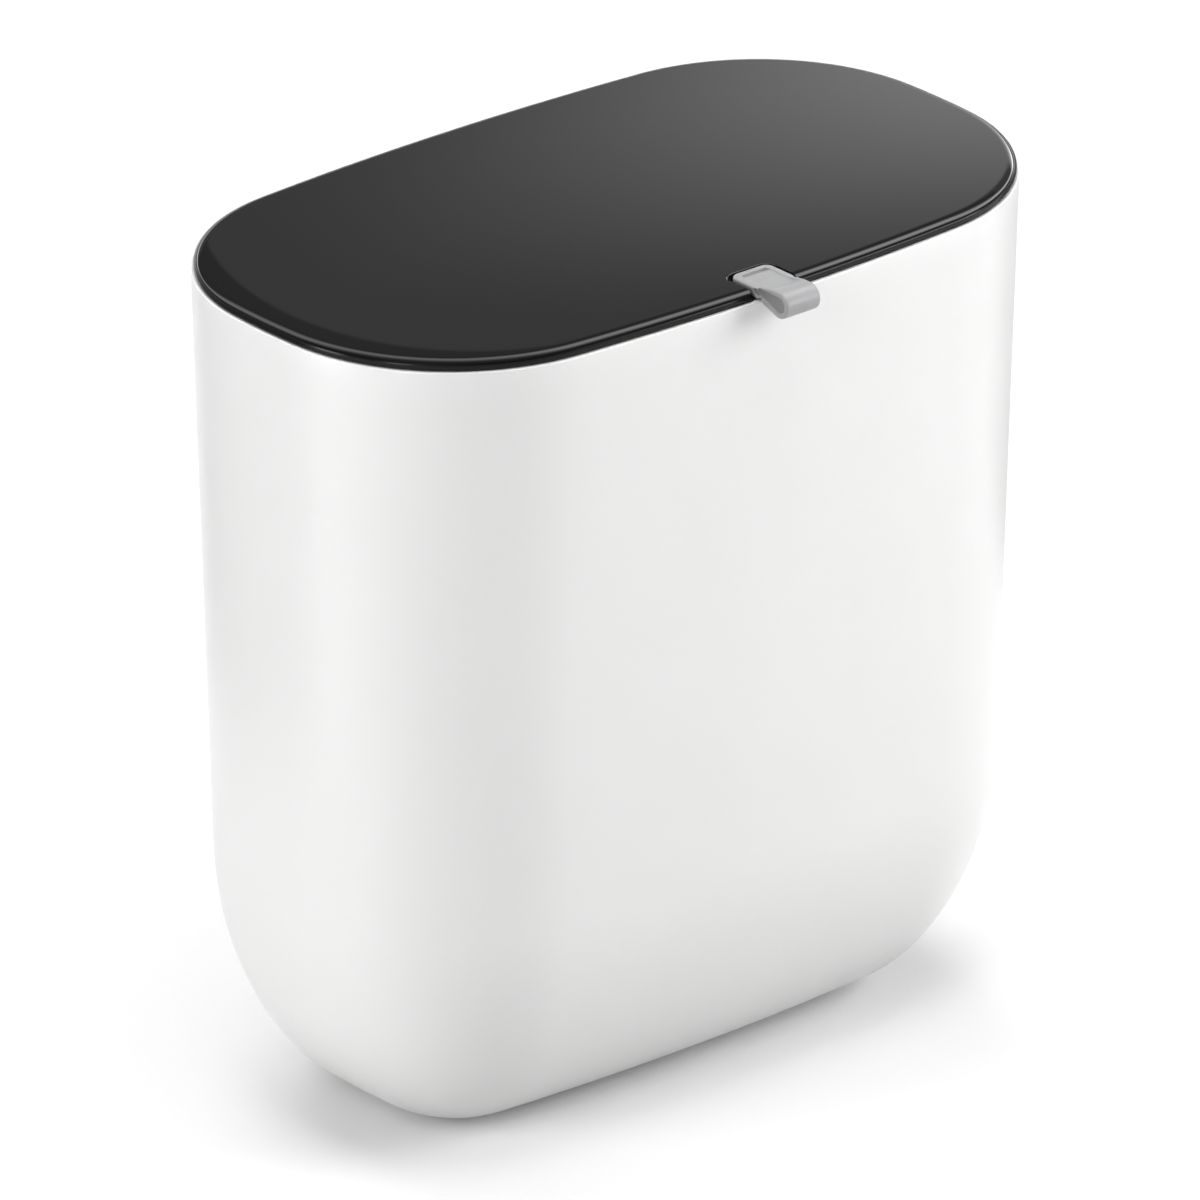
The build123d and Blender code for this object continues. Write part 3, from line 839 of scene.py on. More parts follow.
def loft(rings: list[list[Place]]) -> Object:
    """Skin rings of points from one end to the other, and close both ends.

    Args:
        rings: The rings, each with as many points as the next.

    Returns:
        A closed blank that a finished piece is made from.
    """
    mesh = bmesh.new()
    walls = [[mesh.verts.new(point) for point in ring] for ring in rings]
    for near, far in zip(walls, walls[1:]):
        for i in range(len(near)):
            j = (i + 1) % len(near)
            mesh.faces.new((near[i], near[j], far[j], far[i]))
    mesh.faces.new(walls[0])
    mesh.faces.new(walls[-1])
    return object_from(mesh, "blank")


def prism(outline: list[Point], low: float, high: float, across: bool = False) -> Object:
    """Make a closed prism from an outline.

    Args:
        outline: Points of the outline, in X and Y, or in Y and Z if the prism runs across the bin.
        low: Where the prism starts.
        high: Where it ends.
        across: Whether it runs along X instead of Z.

    Returns:
        The prism, as a blank.
    """
    if across:
        return loft([[(level, y, z) for y, z in outline] for level in (low, high)])
    return loft([[(x, y, level) for x, y in outline] for level in (low, high)])


def rounded(blank: Object, width: float, limit: str = "ANGLE") -> Object:
    """Round the edges of a blank.

    Args:
        blank: The blank.
        width: Width of the rounding.
        limit: ANGLE for the edges that turn sharply, WEIGHT for those that carry a bevel weight.

    Returns:
        The same blank.
    """
    bevel = blank.modifiers.new("rounding", "BEVEL")
    bevel.width = width
    bevel.segments = ROUND_SEGMENTS
    bevel.limit_method = limit
    bevel.angle_limit = ROUND_ANGLE
    return blank


def fitted(base: Object, tool: Object, operation: str) -> None:
    """Join another blank to a blank, or cut with it.

    Args:
        base: The blank that changes.
        tool: The other blank.
        operation: UNION or DIFFERENCE.
    """
    joint = base.modifiers.new("joint", "BOOLEAN")
    joint.operation = operation
    joint.object = tool
    joint.solver = "EXACT"


def fused(
    name: str, blanks: list[Object], cutters: list[Object], grid: float, passes: int
) -> Object:
    """Fuse blanks into one soft-edged skin and cut hollows into it.

    Args:
        name: Name of the new object.
        blanks: Solids to fuse; the first one is the base.
        cutters: Solids that are taken away.
        grid: Width of one face of the new skin.
        passes: Rounds of smoothing.

    Returns:
        The new object.
    """
    base, *others = blanks
    for blank in others:
        fitted(base, blank, "UNION")
    for cutter in cutters:
        fitted(base, cutter, "DIFFERENCE")
    skin = base.modifiers.new("skin", "REMESH")
    skin.mode = "VOXEL"
    skin.voxel_size = grid
    skin.use_smooth_shade = True
    soften = base.modifiers.new("soften", "SMOOTH")
    soften.iterations = passes
    return solid_of(name, base, *others, *cutters)


def solid_of(name: str, blank: Object, *tools: Object) -> Object:
    """Copy a blank with its modifiers applied, and clear the blanks away.

    Args:
        name: Name of the copy.
        blank: The blank.
        tools: The other blanks that its modifiers use.

    Returns:
        The copy, without modifiers.
    """
    state = bpy.context.evaluated_depsgraph_get()
    data = bpy.data.meshes.new_from_object(blank.evaluated_get(state))
    data.name = name
    piece = bpy.data.objects.new(name, data)
    bpy.context.scene.collection.objects.link(piece)
    for spent in (blank, *tools):
        bpy.data.objects.remove(spent)
    return piece


def belt(
    first: Point, first_radius: float, second: Point, second_radius: float, count: int
) -> list[Point]:
    """Outline of a belt round two circles.

    Args:
        first: Centre of one circle.
        first_radius: Its radius.
        second: Centre of the other circle.
        second_radius: Its radius.
        count: Number of segments on the first one; the other has twice as many.

    Returns:
        Points of the outline.
    """
    run_x, run_y = second[0] - first[0], second[1] - first[1]
    heading = math.degrees(math.atan2(run_y, run_x))
    opening = math.degrees(math.acos((first_radius - second_radius) / math.hypot(run_x, run_y)))
    outline = arc(first, first_radius, heading + opening, heading + 360 - opening, count)
    return outline + arc(second, second_radius, heading - opening, heading + opening, 2 * count)


def arc(centre: Point, radius: float, start: float, end: float, count: int) -> list[Point]:
    """Points on an arc.

    Args:
        centre: Centre of the arc.
        radius: Its radius.
        start: First angle, in degrees.
        end: Last angle, in degrees.
        count: Number of segments.

    Returns:
        The points, both ends among them.
    """
    turns = [math.radians(start + (end - start) * i / count) for i in range(count + 1)]
    return [(centre[0] + radius * math.cos(t), centre[1] + radius * math.sin(t)) for t in turns]


def bezier(points: list[Point], count: int) -> list[Point]:
    """Points on a cubic curve.

    Args:
        points: Its four control points.
        count: Number of segments.

    Returns:
        The points, both ends among them.
    """
    walked = []
    for i in range(count + 1):
        t = i / count
        weights = ((1 - t) ** 3, 3 * t * (1 - t) ** 2, 3 * t * t * (1 - t), t**3)
        walked.append(tuple(sum(w * p[axis] for w, p in zip(weights, points)) for axis in (0, 1)))
    return walked


def smooth(share: float) -> float:
    """Ease a share that runs from 0 to 1, and hold it at both ends."""
    held = min(max(share, 0.0), 1.0)
    return held**2 * (3 - 2 * held)


# The bin


@dataclass
class Body:
    """The outer shell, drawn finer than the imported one.

    Attributes:
        finishes: The bin's finishes.
        draft: Draft of the wall, in degrees.
        wall: Thickness of the wall.
        floor: Thickness of the floor.
        rim_round: Rounding of the rim's edges.
        foot_reach: How far the foot curves in at the floor, past the draft.
        foot_height: Height where the foot starts to curve in.
        floor_corner: Corner radius of the flat floor.
        side_radius: Radius of the long sides in plan.
        end_radius: Radius of the ends in plan.
        groove_margin: How much wider the groove under the floor is than its ring.
        groove_depth: Depth of that groove.
        notch_clearance: Room round the hinge arms in the rim's notches.
        lid_inset: How far the lid's edge stands in from the rim.
        foot_segments: Number of segments in the foot's curve.
        lip_segments: Number of segments in each of the rim's two roundings.
        wall_levels: Places of the rows between foot and notch, as shares of the height.
    """

    finishes: Finishes
    draft: float = 1.55
    wall: float = mm(2.0)
    floor: float = mm(2.2)
    rim_round: float = mm(0.5)
    foot_reach: float = mm(55.3)
    foot_height: float = mm(84.7)
    floor_corner: float = mm(4.4)
    side_radius: float = mm(980)
    end_radius: float = mm(262)
    groove_margin: float = mm(0.6)
    groove_depth: float = mm(1.0)
    notch_clearance: float = mm(0.6)
    lid_inset: float = mm(0.8)
    foot_segments: int = 30
    lip_segments: int = 5
    wall_levels: tuple[float, ...] = (0.25, 0.5, 0.75)

    def __post_init__(self) -> None:
        """Take the overall sizes from the frame."""
        low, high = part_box("outer_shell")
        panel_low, panel_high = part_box("lid_panel")
        self.bottom = low.z
        self.top = high.z
        self.slope = math.tan(math.radians(self.draft))
        self.reach = self.foot_reach + self.top * self.slope
        self.plan = OvalPlan(
            panel_high.x - panel_low.x + 2 * self.lid_inset,
            2 * (panel_high.y + self.lid_inset),
            self.side_radius,
            self.end_radius,
            self.reach + self.floor_corner,
        )

    def inset_at(self, start: float, height: float) -> float:
        """Inset of a drafted wall at a height."""
        return start + (self.top - height) * self.slope

    def foot(self, start: float, level: float) -> list[Point]:
        """Points of the foot's curve, from the wall down to the floor.

        Args:
            start: Inset of the wall at the rim.
            level: Height of the floor.

        Returns:
            Inset and height of each point.
        """
        handle = 4 / 3 * (math.sqrt(2) - 1)
        knee = self.foot_height - handle * (self.foot_height - level)
        sole = self.reach - handle * (self.reach - self.inset_at(start, level))
        controls = [
            (self.inset_at(start, self.foot_height), self.foot_height),
            (self.inset_at(start, knee), knee),
            (sole, level),
            (self.reach, level),
        ]
        return bezier(controls, self.foot_segments)

    def build(self) -> Object:
        """Build the shell round the plan, with its rim notches and the groove under its floor.

        Returns:
            The shell.
        """
        bush_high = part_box("hinge_bushes")[1]
        undertray_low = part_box("lid_undertray")[0]
        bracket_low, bracket_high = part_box("hinge_bracket_right")
        middle = (bracket_low.x + bracket_high.x) / 2
        half = bush_high.x - middle + self.notch_clearance
        notch_floor = undertray_low.z - self.notch_clearance
        ring_inner = self.reach + self.floor_corner - self.groove_margin / 2
        ring_outer = self.reach + self.groove_margin
        roof = self.bottom + self.groove_depth
        under = [
            (ring_inner, self.bottom),
            (ring_inner, roof),
            (ring_outer, roof),
            (ring_outer, self.bottom),
        ]
        outside = list(reversed(self.foot(0.0, self.bottom)))
        span = notch_floor - self.foot_height
        wall_heights = [self.foot_height + share * span for share in self.wall_levels]
        wall_heights.append(notch_floor)
        outside += [(self.inset_at(0.0, height), height) for height in wall_heights]
        notch_first = len(under) + len(outside) - 1
        outer_lip = self.inset_at(0.0, self.top - self.rim_round)
        inner_lip = outer_lip + self.wall - self.rim_round
        lip = []
        for place, start, end in ((outer_lip + self.rim_round, 180, 90), (inner_lip, 90, 0)):
            centre = (place, self.top - self.rim_round)
            lip += arc(centre, self.rim_round, start, end, self.lip_segments)
        inside = [(self.inset_at(self.wall, height), height) for height in reversed(wall_heights)]
        inside += self.foot(self.wall, self.bottom + self.floor)
        notch_last = len(under) + len(outside) + len(lip)
        stops = [middle - half, middle + half]
        sweep = Sweep(self.plan.columns([], stops), under + outside + lip + inside)
        gaps = [
            Gap(Side.BACK, side * middle - half, side * middle + half, notch_first, notch_last)
            for side in (-1, 1)
        ]
        sweep.wall(gaps)
        for gap in gaps:
            sweep.close(gap)
        sweep.cap(0)
        sweep.cap(-1)
        shell = sweep.finish("shell_body")
        dress(shell, self.finishes.shell)
        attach(shell, "bin")
        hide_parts("outer_shell")
        return shell


@dataclass
class LidPanel:
    """The gloss slab on top, with a rolled edge and a notch for the tab.

    Attributes:
        body: The body, whose plan the slab follows.
        roll: Drop of the rolled top edge.
        roll_depth: How far the rolled edge reaches in over the slab.
        land: How far the flat ring runs in past the rolled edge.
        arris: Width of the small bevel at the bottom.
        notch_gap: Gap between the tab and the notch.
        notch_corner: Corner radius at the back of the notch.
        notch_round: Rounding of the notch's top edge.
        shaded_side_limit: Upward share of a face's normal below which the face takes a darker,
            duller copy of the lid's finish, as painted shade on the lid's side.
        roll_segments: Number of segments in the rolled edge.
        corner_segments: Number of segments in a corner of the notch.
    """

    body: Body
    roll: float = mm(2.3)
    roll_depth: float = mm(3.1)
    land: float = mm(0.6)
    arris: float = mm(0.25)
    notch_gap: float = mm(1.6)
    notch_corner: float = mm(4.4)
    notch_round: float = mm(0.7)
    shaded_side_limit: float = math.cos(math.radians(50))
    roll_segments: int = 14
    corner_segments: int = 10

    def section(self, bottom: float, top: float) -> list[Point]:
        """Section of the slab's edge, from its flat underside over the roll to its flat top.

        Args:
            bottom: Height of the underside.
            top: Height of the top.

        Returns:
            Inset and height of each point.
        """
        inset = self.body.lid_inset
        flat = inset + self.roll_depth
        shoulder = top - self.roll
        roll = arc((0, 0), 1, 0, 90, self.roll_segments)
        return [
            (flat + self.land, bottom),
            (inset + self.arris, bottom),
            (inset, bottom + self.arris),
            *[(flat - self.roll_depth * x, shoulder + self.roll * z) for x, z in roll],
            (flat + self.land, top),
        ]

    def build(self) -> Object:
        """Build the slab round the plan, open at the notch.

        Returns:
            The slab.
        """
        low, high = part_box("lid_panel")
        tab_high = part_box("pull_tab")[1]
        half = tab_high.x + self.notch_gap
        section = self.section(low.z, high.z)
        last = len(section) - 1
        columns = self.body.plan.columns([half], [])
        sweep = Sweep(columns, section)
        gap = Gap(Side.FRONT, -half, half, 0, last)
        sweep.wall([gap])
        start = tab_high.y + self.notch_gap - self.notch_corner
        side = half - self.notch_corner
        outline = arc((side, start), self.notch_corner, 0, 90, self.corner_segments)
        outline += [(-x, y) for x, y in reversed(outline)]
        tops = [sweep.mesh.verts.new((x, y, high.z)) for x, y in outline]
        bottoms = [sweep.mesh.verts.new((x, y, low.z)) for x, y in outline]
        weights = sweep.mesh.edges.layers.float.new("bevel_weight_edge")
        for i in range(len(outline) - 1):
            sweep.face(bottoms[i], bottoms[i + 1], tops[i + 1], tops[i])
            sweep.mesh.edges.get((tops[i], tops[i + 1]))[weights] = 1.0
        kept = [i for i, (point, _) in enumerate(columns) if not gap.holds(point)]
        turn = next(
            k for k, i in enumerate(kept) if columns[i][0][0] > 0 and gap.bounds(columns[i][0])
        )
        order = kept[turn:] + kept[:turn]
        for i, k in ((order[0], 0), (order[-1], -1)):
            sweep.face(*[row[i] for row in sweep.rows], tops[k], bottoms[k])
        sweep.face(*[sweep.rows[last][i] for i in order], *reversed(tops))
        sweep.face(*[sweep.rows[0][i] for i in order], *reversed(bottoms))
        blank = rounded(sweep.finish("blank"), self.notch_round, "WEIGHT")
        panel = solid_of("lid_slab", blank)
        # Faces that turn down from the top take the darker copy of the lid's finish: painted shade
        # on the lid's side.
        for finish in (self.body.finishes.lid, self.body.finishes.lid_shaded_side):
            panel.data.materials.append(finish)
        for face in panel.data.polygons:
            face.material_index = int(face.normal.z < self.shaded_side_limit)
        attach(panel, "lid")
        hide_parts("lid_panel")
        return panel


@dataclass
class PullTab:
    """The soft grip over its core: a tongue in the lid's notch that rolls over into a nose.

    Attributes:
        finishes: The bin's finishes.
        tongue_proud: How far the tongue stands above the lid.
        tongue_corner: Corner radius at the tongue's rear.
        tongue_round: Rounding of the tongue's edges.
        waist: How far the tongue runs past the lid's front edge.
        nose_lead: How far behind the lid's front edge the nose starts.
        nose_drop: How far under the tongue's top it starts.
        nose_half: Half the nose's width.
        nose_radius: Radius of the nose's round end.
        nose_wrap: Turn of the round end, in degrees.
        nose_round: Rounding of the nose's side edges.
        tuck: How far the underside's root lies from the lid.
        cheek_depth: Depth of the cheek hollow.
        cheek_radius: Radius of the cheek's wide end.
        cheek_tip: Radius of its narrow end.
        cheek_lead: How far behind the lid's front edge the narrow end lies.
        cheek_drop: How far under the tongue's top it lies.
        thumb_half: Half the width of the thumb recess.
        thumb_rear: Distance of the recess from the tongue's rear.
        thumb_front: How far the recess runs past the lid's front edge.
        thumb_bow: How far its front bows out.
        thumb_end: Share of that bow where the recess ends in a short flat edge.
        thumb_corner: Radius of its rear corners.
        thumb_depth: Its depth in the middle.
        thumb_groove: How much deeper it is at the rear.
        thumb_groove_run: Length over which that groove fades.
        thumb_ramp: Length of the ramp up to its front border.
        thumb_sections: Number of segments along the recess.
        thumb_columns: Number of segments across it.
        overcut: How far a cutter stands out of what it cuts.
        grid: Face width of the grip's skin.
        passes: Rounds of smoothing on that skin.
        core_proud: How far the core stands out of the cheek's floor.
        core_round: Rounding of the core's edges.
        plate_height: Thickness of the core's plate.
        plate_corner: Radius of its rear corners.
        back_segments: Number of segments in the nose's level back.
        nose_segments: Number in its round end.
        cheek_segments: Number in the cheek's narrow end.
        tongue_segments: Number in a corner of the tongue.
        plate_segments: Number in a corner of the plate.
    """

    finishes: Finishes
    tongue_proud: float = mm(0.65)
    tongue_corner: float = mm(2.9)
    tongue_round: float = mm(0.75)
    waist: float = mm(0.6)
    nose_lead: float = mm(4)
    nose_drop: float = mm(0.05)
    nose_half: float = mm(6.8)
    nose_radius: float = mm(4.4)
    nose_wrap: float = 200.0
    nose_round: float = mm(1.6)
    tuck: float = mm(1.2)
    cheek_depth: float = mm(0.55)
    cheek_radius: float = mm(2.75)
    cheek_tip: float = mm(0.85)
    cheek_lead: float = mm(0.5)
    cheek_drop: float = mm(1.25)
    thumb_half: float = mm(5.4)
    thumb_rear: float = mm(2.3)
    thumb_front: float = mm(6.3)
    thumb_bow: float = mm(1.9)
    thumb_end: float = 0.99
    thumb_corner: float = mm(1.4)
    thumb_depth: float = mm(0.35)
    thumb_groove: float = mm(0.95)
    thumb_groove_run: float = mm(3.0)
    thumb_ramp: float = mm(4.6)
    thumb_sections: int = 28
    thumb_columns: int = 12
    overcut: float = mm(2)
    grid: float = mm(0.17)
    passes: int = 4
    core_proud: float = mm(0.06)
    core_round: float = mm(0.12)
    plate_height: float = mm(2.2)
    plate_corner: float = mm(1.2)
    back_segments: int = 14
    nose_segments: int = 34
    cheek_segments: int = 10
    tongue_segments: int = 10
    plate_segments: int = 6

    def __post_init__(self) -> None:
        """Take the places from the frame."""
        self.low, self.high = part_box("pull_tab")
        panel_low, panel_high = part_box("lid_panel")
        self.lid_front = panel_low.y
        self.lid_bottom = panel_low.z
        self.tongue_top = panel_high.z + self.tongue_proud
        self.nose_start = self.lid_front + self.nose_lead
        self.tip = (self.low.y + self.nose_radius, self.high.z - self.nose_radius)
        self.recess_rear = self.high.y - self.thumb_rear
        self.recess_front = self.lid_front - self.thumb_front

    def plan(
        self, half: float, front: float, rear: float, radius: float, count: int
    ) -> list[Point]:
        """Plan of the tongue or the plate: square in front, with round corners at the rear.

        Args:
            half: Half its width.
            front: Y of its front.
            rear: Y of its rear.
            radius: Radius of the corners.
            count: Number of segments in a corner.

        Returns:
            Points of the plan.
        """
        corner = arc((half - radius, rear - radius), radius, 0, 90, count)
        return [(half, front), *corner, *[(-x, y) for x, y in reversed(corner)], (-half, front)]

    def nose_outline(self) -> list[Point]:
        """Side view of the nose: a level back, a round end and an underside that tucks in.

        Returns:
            Points of the outline.
        """
        tip_y = self.tip[0]
        back = (self.nose_start, self.tongue_top - self.nose_drop)
        run = (back[0] - tip_y) / 2
        crest_light = (tip_y, self.high.z)
        level = [back, (back[0] - run, back[1]), (tip_y + run, crest_light[1]), crest_light]
        end = arc(self.tip, self.nose_radius, 90, 90 + self.nose_wrap, self.nose_segments)
        outline = bezier(level, self.back_segments) + end[1:]
        foot = self.lid_front - self.tuck
        bottom = self.lid_bottom
        return outline + [(foot, bottom - self.tuck), (foot, bottom), (back[0], bottom)]

    def cheek_outline(self) -> list[Point]:
        """Side view of the cheek: a drop with its wide end in the nose."""
        narrow = (self.lid_front + self.cheek_lead, self.tongue_top - self.cheek_drop)
        return belt(narrow, self.cheek_tip, self.tip, self.cheek_radius, self.cheek_segments)

    def thumb_floor(self, x: float, y: float) -> float:
        """Height of the recess's floor: a groove at the rear, a dish and a ramp up to the nose.

        Args:
            x: Place across the tab.
            y: Place along it.

        Returns:
            The height.
        """
        bow = self.thumb_bow * math.sqrt(max(1 - (x / self.thumb_half) ** 2, 0.0))
        ramp = smooth((y - self.recess_front + bow) / self.thumb_ramp)
        climb = smooth((self.nose_start - y) / (self.nose_start - self.tip[0]))
        nose = (self.high.z - self.tongue_top) * climb
        fade = max(1 - (self.recess_rear - y) / self.thumb_groove_run, 0.0)
        dish = -self.thumb_depth - self.thumb_groove * fade**2
        return self.tongue_top + nose + (dish - nose) * ramp

    def thumb_recess(self) -> Object:
        """Make the solid that hollows the thumb recess, section by section from rear to front.

        Returns:
            The solid, as a blank.
        """
        run = self.recess_rear - self.recess_front + self.thumb_bow
        top = self.high.z + self.overcut
        shares = [2 * j / self.thumb_columns - 1 for j in range(self.thumb_columns + 1)]
        rings = []
        for i in range(self.thumb_sections + 1):
            done = (1 - math.cos(math.pi * i / self.thumb_sections)) / 2
            y = self.recess_rear - run * done
            corner = max(self.thumb_corner - run * done, 0.0)
            half = self.thumb_half - self.thumb_corner + math.sqrt(self.thumb_corner**2 - corner**2)
            bow = min(max(self.recess_front - y, 0.0) / self.thumb_bow, self.thumb_end)
            half *= math.sqrt(1 - bow**2)
            section = [(half * share, y, self.thumb_floor(half * share, y)) for share in shares]
            rings.append([*section, (half, y, top), (-half, y, top)])
        return loft(rings)

    def grip(self, cheek: list[Point], floor: float) -> Object:
        """Build the grip: tongue and nose in one skin, hollowed at the cheeks and for the thumb.

        Args:
            cheek: Side view of a cheek.
            floor: Distance of its floor from the middle.

        Returns:
            The grip.
        """
        front = self.lid_front - self.waist
        count = self.tongue_segments
        plan = self.plan(self.high.x, front, self.high.y, self.tongue_corner, count)
        tongue = rounded(prism(plan, self.lid_bottom, self.tongue_top), self.tongue_round)
        nose = prism(self.nose_outline(), -self.nose_half, self.nose_half, True)
        far = self.nose_half + self.overcut
        hollows = [prism(cheek, floor, far, True), prism(cheek, -far, -floor, True)]
        hollows.append(self.thumb_recess())
        blanks = [tongue, rounded(nose, self.nose_round)]
        return fused("tab_grip", blanks, hollows, self.grid, self.passes)

    def core(self, cheek: list[Point], floor: float) -> Object:
        """Build the core: a drop that fills the cheeks, and the plate under the tongue.

        Args:
            cheek: Side view of the drop.
            floor: Distance of the cheek's floor from the middle.

        Returns:
            The core.
        """
        low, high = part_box("tab_core")
        face = floor + self.core_proud
        drop = prism(cheek, -face, face, True)
        count = self.plate_segments
        plan = self.plan(high.x, self.lid_front, high.y, self.plate_corner, count)
        plate = prism(plan, low.z, low.z + self.plate_height)
        fitted(drop, plate, "UNION")
        return solid_of("tab_insert", rounded(drop, self.core_round), plate)

    def build(self) -> list[Object]:
        """Build the grip and the core that shows at its cheeks.

        Returns:
            Both pieces.
        """
        cheek = self.cheek_outline()
        floor = self.nose_half - self.cheek_depth
        parts = (
            (self.grip(cheek, floor), self.finishes.tab, "pull_tab", "tab_grey"),
            (self.core(cheek, floor), self.finishes.core, "tab_core", "core_grey"),
        )
        for piece, finish, node, slot in parts:
            dress(piece, finish)
            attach(piece, "lid")
            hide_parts(node)
        return [piece for piece, *_ in parts]


@dataclass(frozen=True)
class ScrewSet:
    """Screws that hold one fitting.

    Attributes:
        name: Name of the finished piece.
        node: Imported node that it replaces.
        body: Body that it rides.
        outward: Direction in which the heads face.
    """

    name: str
    node: str
    body: str
    outward: Vector


@dataclass
class Screws:
    """Pan-head screws with a cross recess, one piece for each fitting.

    Attributes:
        finishes: The bin's finishes.
        sets: The sets of screws.
        sides: Corners of the round head.
        head_share: Height of a head as a share of its radius.
        shank_share: Radius of the shank as a share of the head's.
        point_share: Radius of the shank's point as a share of the shank's.
        seat_share: Radius of the head's seat as a share of the head's.
        seat_level: Height where the head is widest, as a share of its depth.
        crown: Control points of the head's round: shares of its radius and of its depth.
        slot_reach: Half the length of the recess as a share of the head's radius.
        slot_half: Half its width, likewise.
        slot_depth: Its depth, likewise.
        slot_over: How far its cutter stands out of the head, likewise.
        slot_taper: Size of its floor as a share of its mouth.
        turn: Turn from one screw to the next, in radians.
        crown_segments: Number of segments in the head's round.
        weld: Distance under which two points of a packed screw are one.
    """

    finishes: Finishes
    sets: tuple[ScrewSet, ...] = (
        ScrewSet("hinge_cross_screws", "hinge_screws", "bin", Vector((0, 1, 0))),
        ScrewSet("hanger_cross_screws", "hanger_screws", "bin", Vector((0, 1, 0))),
        ScrewSet("spacer_cross_screws", "spacer_screws", "bin", Vector((0, -1, 0))),
        ScrewSet("tab_cross_screws", "tab_screws", "lid", Vector((0, 0, -1))),
    )
    sides: int = 40
    head_share: float = 0.645
    shank_share: float = 0.54
    point_share: float = 0.3
    seat_share: float = 0.97
    seat_level: float = 0.94
    crown: tuple[Point, ...] = ((1.0, 0.42), (0.99, 0.1), (0.62, 0.0), (0.3, 0.0))
    slot_reach: float = 0.62
    slot_half: float = 0.15
    slot_depth: float = 0.42
    slot_over: float = 0.1
    slot_taper: float = 0.55
    turn: float = 0.7
    crown_segments: int = 8
    weld: float = mm(0.001)

    def boxes(self, node: str) -> list[tuple[Vector, Vector]]:
        """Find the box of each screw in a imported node.

        Args:
            node: Name of the node.

        Returns:
            The low and high corner of each box.
        """
        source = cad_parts[node]
        mesh = bmesh.new()
        mesh.from_mesh(source.data)
        mesh.transform(source.matrix_world)
        bmesh.ops.remove_doubles(mesh, verts=mesh.verts, dist=self.weld)
        rest = set(mesh.verts)
        found = []
        while rest:
            island = [rest.pop()]
            for vert in island:
                for edge in vert.link_edges:
                    other = edge.other_vert(vert)
                    if other in rest:
                        rest.remove(other)
                        island.append(other)
            axes = [[vert.co[axis] for vert in island] for axis in range(3)]
            found.append((Vector(map(min, axes)), Vector(map(max, axes))))
        mesh.free()
        return sorted(found, key=lambda box: tuple(round(value, 5) for value in box[0]))

    def blank(self, radius: float, length: float) -> Object:
        """Make one screw whose head ends at the origin and faces +Z.

        Args:
            radius: Radius of the head.
            length: Length over all.

        Returns:
            The screw, with its recess.
        """
        shank = radius * self.shank_share
        seat = -radius * self.head_share
        profile = [
            (shank * self.point_share, -length),
            (shank, -length + shank),
            (shank, seat),
            (radius * self.seat_share, seat),
            (radius, seat * self.seat_level),
        ]
        crown = [(radius * reach, seat * level) for reach, level in self.crown]
        profile += bezier(crown, self.crown_segments)
        turns = [2 * math.pi * i / self.sides for i in range(self.sides)]
        rings = [
            [(reach * math.cos(turn), reach * math.sin(turn), level) for turn in turns]
            for reach, level in profile
        ]
        screw = loft(rings)
        cutter = self.cross(radius)
        fitted(screw, cutter, "DIFFERENCE")
        return solid_of("blank", screw, cutter)

    def cross(self, radius: float) -> Object:
        """Make the tapered cross that cuts the recess.

        Args:
            radius: Radius of the head.

        Returns:
            The cross.
        """
        reach, half = radius * self.slot_reach, radius * self.slot_half
        arm = plan = [(half, half), (half, reach), (-half, reach)]
        for _ in range(3):
            arm = [(-y, x) for x, y in arm]
            plan = plan + arm
        rings = [
            [(x * size, y * size, radius * level) for x, y in plan]
            for size, level in ((1.0, self.slot_over), (self.slot_taper, -self.slot_depth))
        ]
        return loft(rings)

    def build(self) -> list[Object]:
        """Build every set of screws.

        Returns:
            One piece for each set.
        """
        pieces = []
        for screws in self.sets:
            mesh = bmesh.new()
            upright = Vector((0, 0, 1)).rotation_difference(screws.outward).to_matrix().to_4x4()
            for index, (low, high) in enumerate(self.boxes(screws.node)):
                size = high - low
                along = abs(size.dot(screws.outward))
                blank = self.blank(size.x / 2, along)
                tip = (low + high) / 2 + screws.outward * along / 2
                spin = Matrix.Rotation(self.turn * index, 4, "Z")
                blank.data.transform(Matrix.Translation(tip) @ upright @ spin)
                mesh.from_mesh(blank.data)
                bpy.data.objects.remove(blank)
            piece = object_from(mesh, screws.name)
            dress(piece, self.finishes.steel)
            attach(piece, screws.body)
            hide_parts(screws.node)
            pieces.append(piece)
        return pieces


@dataclass
class Fittings:
    """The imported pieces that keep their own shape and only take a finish.

    Attributes:
        finishes: The bin's finishes.
    """

    finishes: Finishes

    def build(self) -> None:
        """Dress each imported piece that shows."""
        table = {
            self.finishes.rubber: ("base_ring", "spacer_tips"),
            self.finishes.bucket: ("inner_bucket",),
            self.finishes.ring: ("bag_ring", "hinge_bushes"),
            self.finishes.hinge: ("hinge_bracket_left", "hinge_bracket_right"),
            self.finishes.steel: ("hinge_pin_left", "hinge_pin_right"),
            self.finishes.rail: ("hanger_rail", "rear_spacers"),
            self.finishes.undertray: ("lid_undertray",),
            self.finishes.foam: ("panel_tape", "adhesive_pads"),
            self.finishes.seal_and_gap_shade: ("lid_seal",),
            self.finishes.sheet: ("wall_bracket",),
        }
        for material, names in table.items():
            for name in names:
                dress(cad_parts[name], material)
                log.info("dressed %s", name)


# Studio


@dataclass(frozen=True)
class Softbox:
    """A rectangular lamp that is aimed at a point.

    Attributes:
        name: Name of the lamp.
        azimuth: Direction round the object, as for the camera, in degrees.
        elevation: Height above the horizon, in degrees.
        distance: Distance from the aim, in metres.
        width: Width, in metres.
        height: Height, in metres.
        power: Power, in watts.
    """

    name: str
    azimuth: float
    elevation: float
    distance: float
    width: float
    height: float
    power: float


@dataclass(frozen=True)
class Flag:
    """An upright grey card near the object that only reflections see, to draw its edges.

    Attributes:
        name: Name of the card.
        azimuth: Direction round the object, as for the camera, in degrees.
        distance: Distance from the middle of the object, in metres.
        width: Width, in metres.
        height: Height, in metres.
        light: Light that it gives back.
    """

    name: str
    azimuth: float
    distance: float
    width: float
    height: float
    light: float


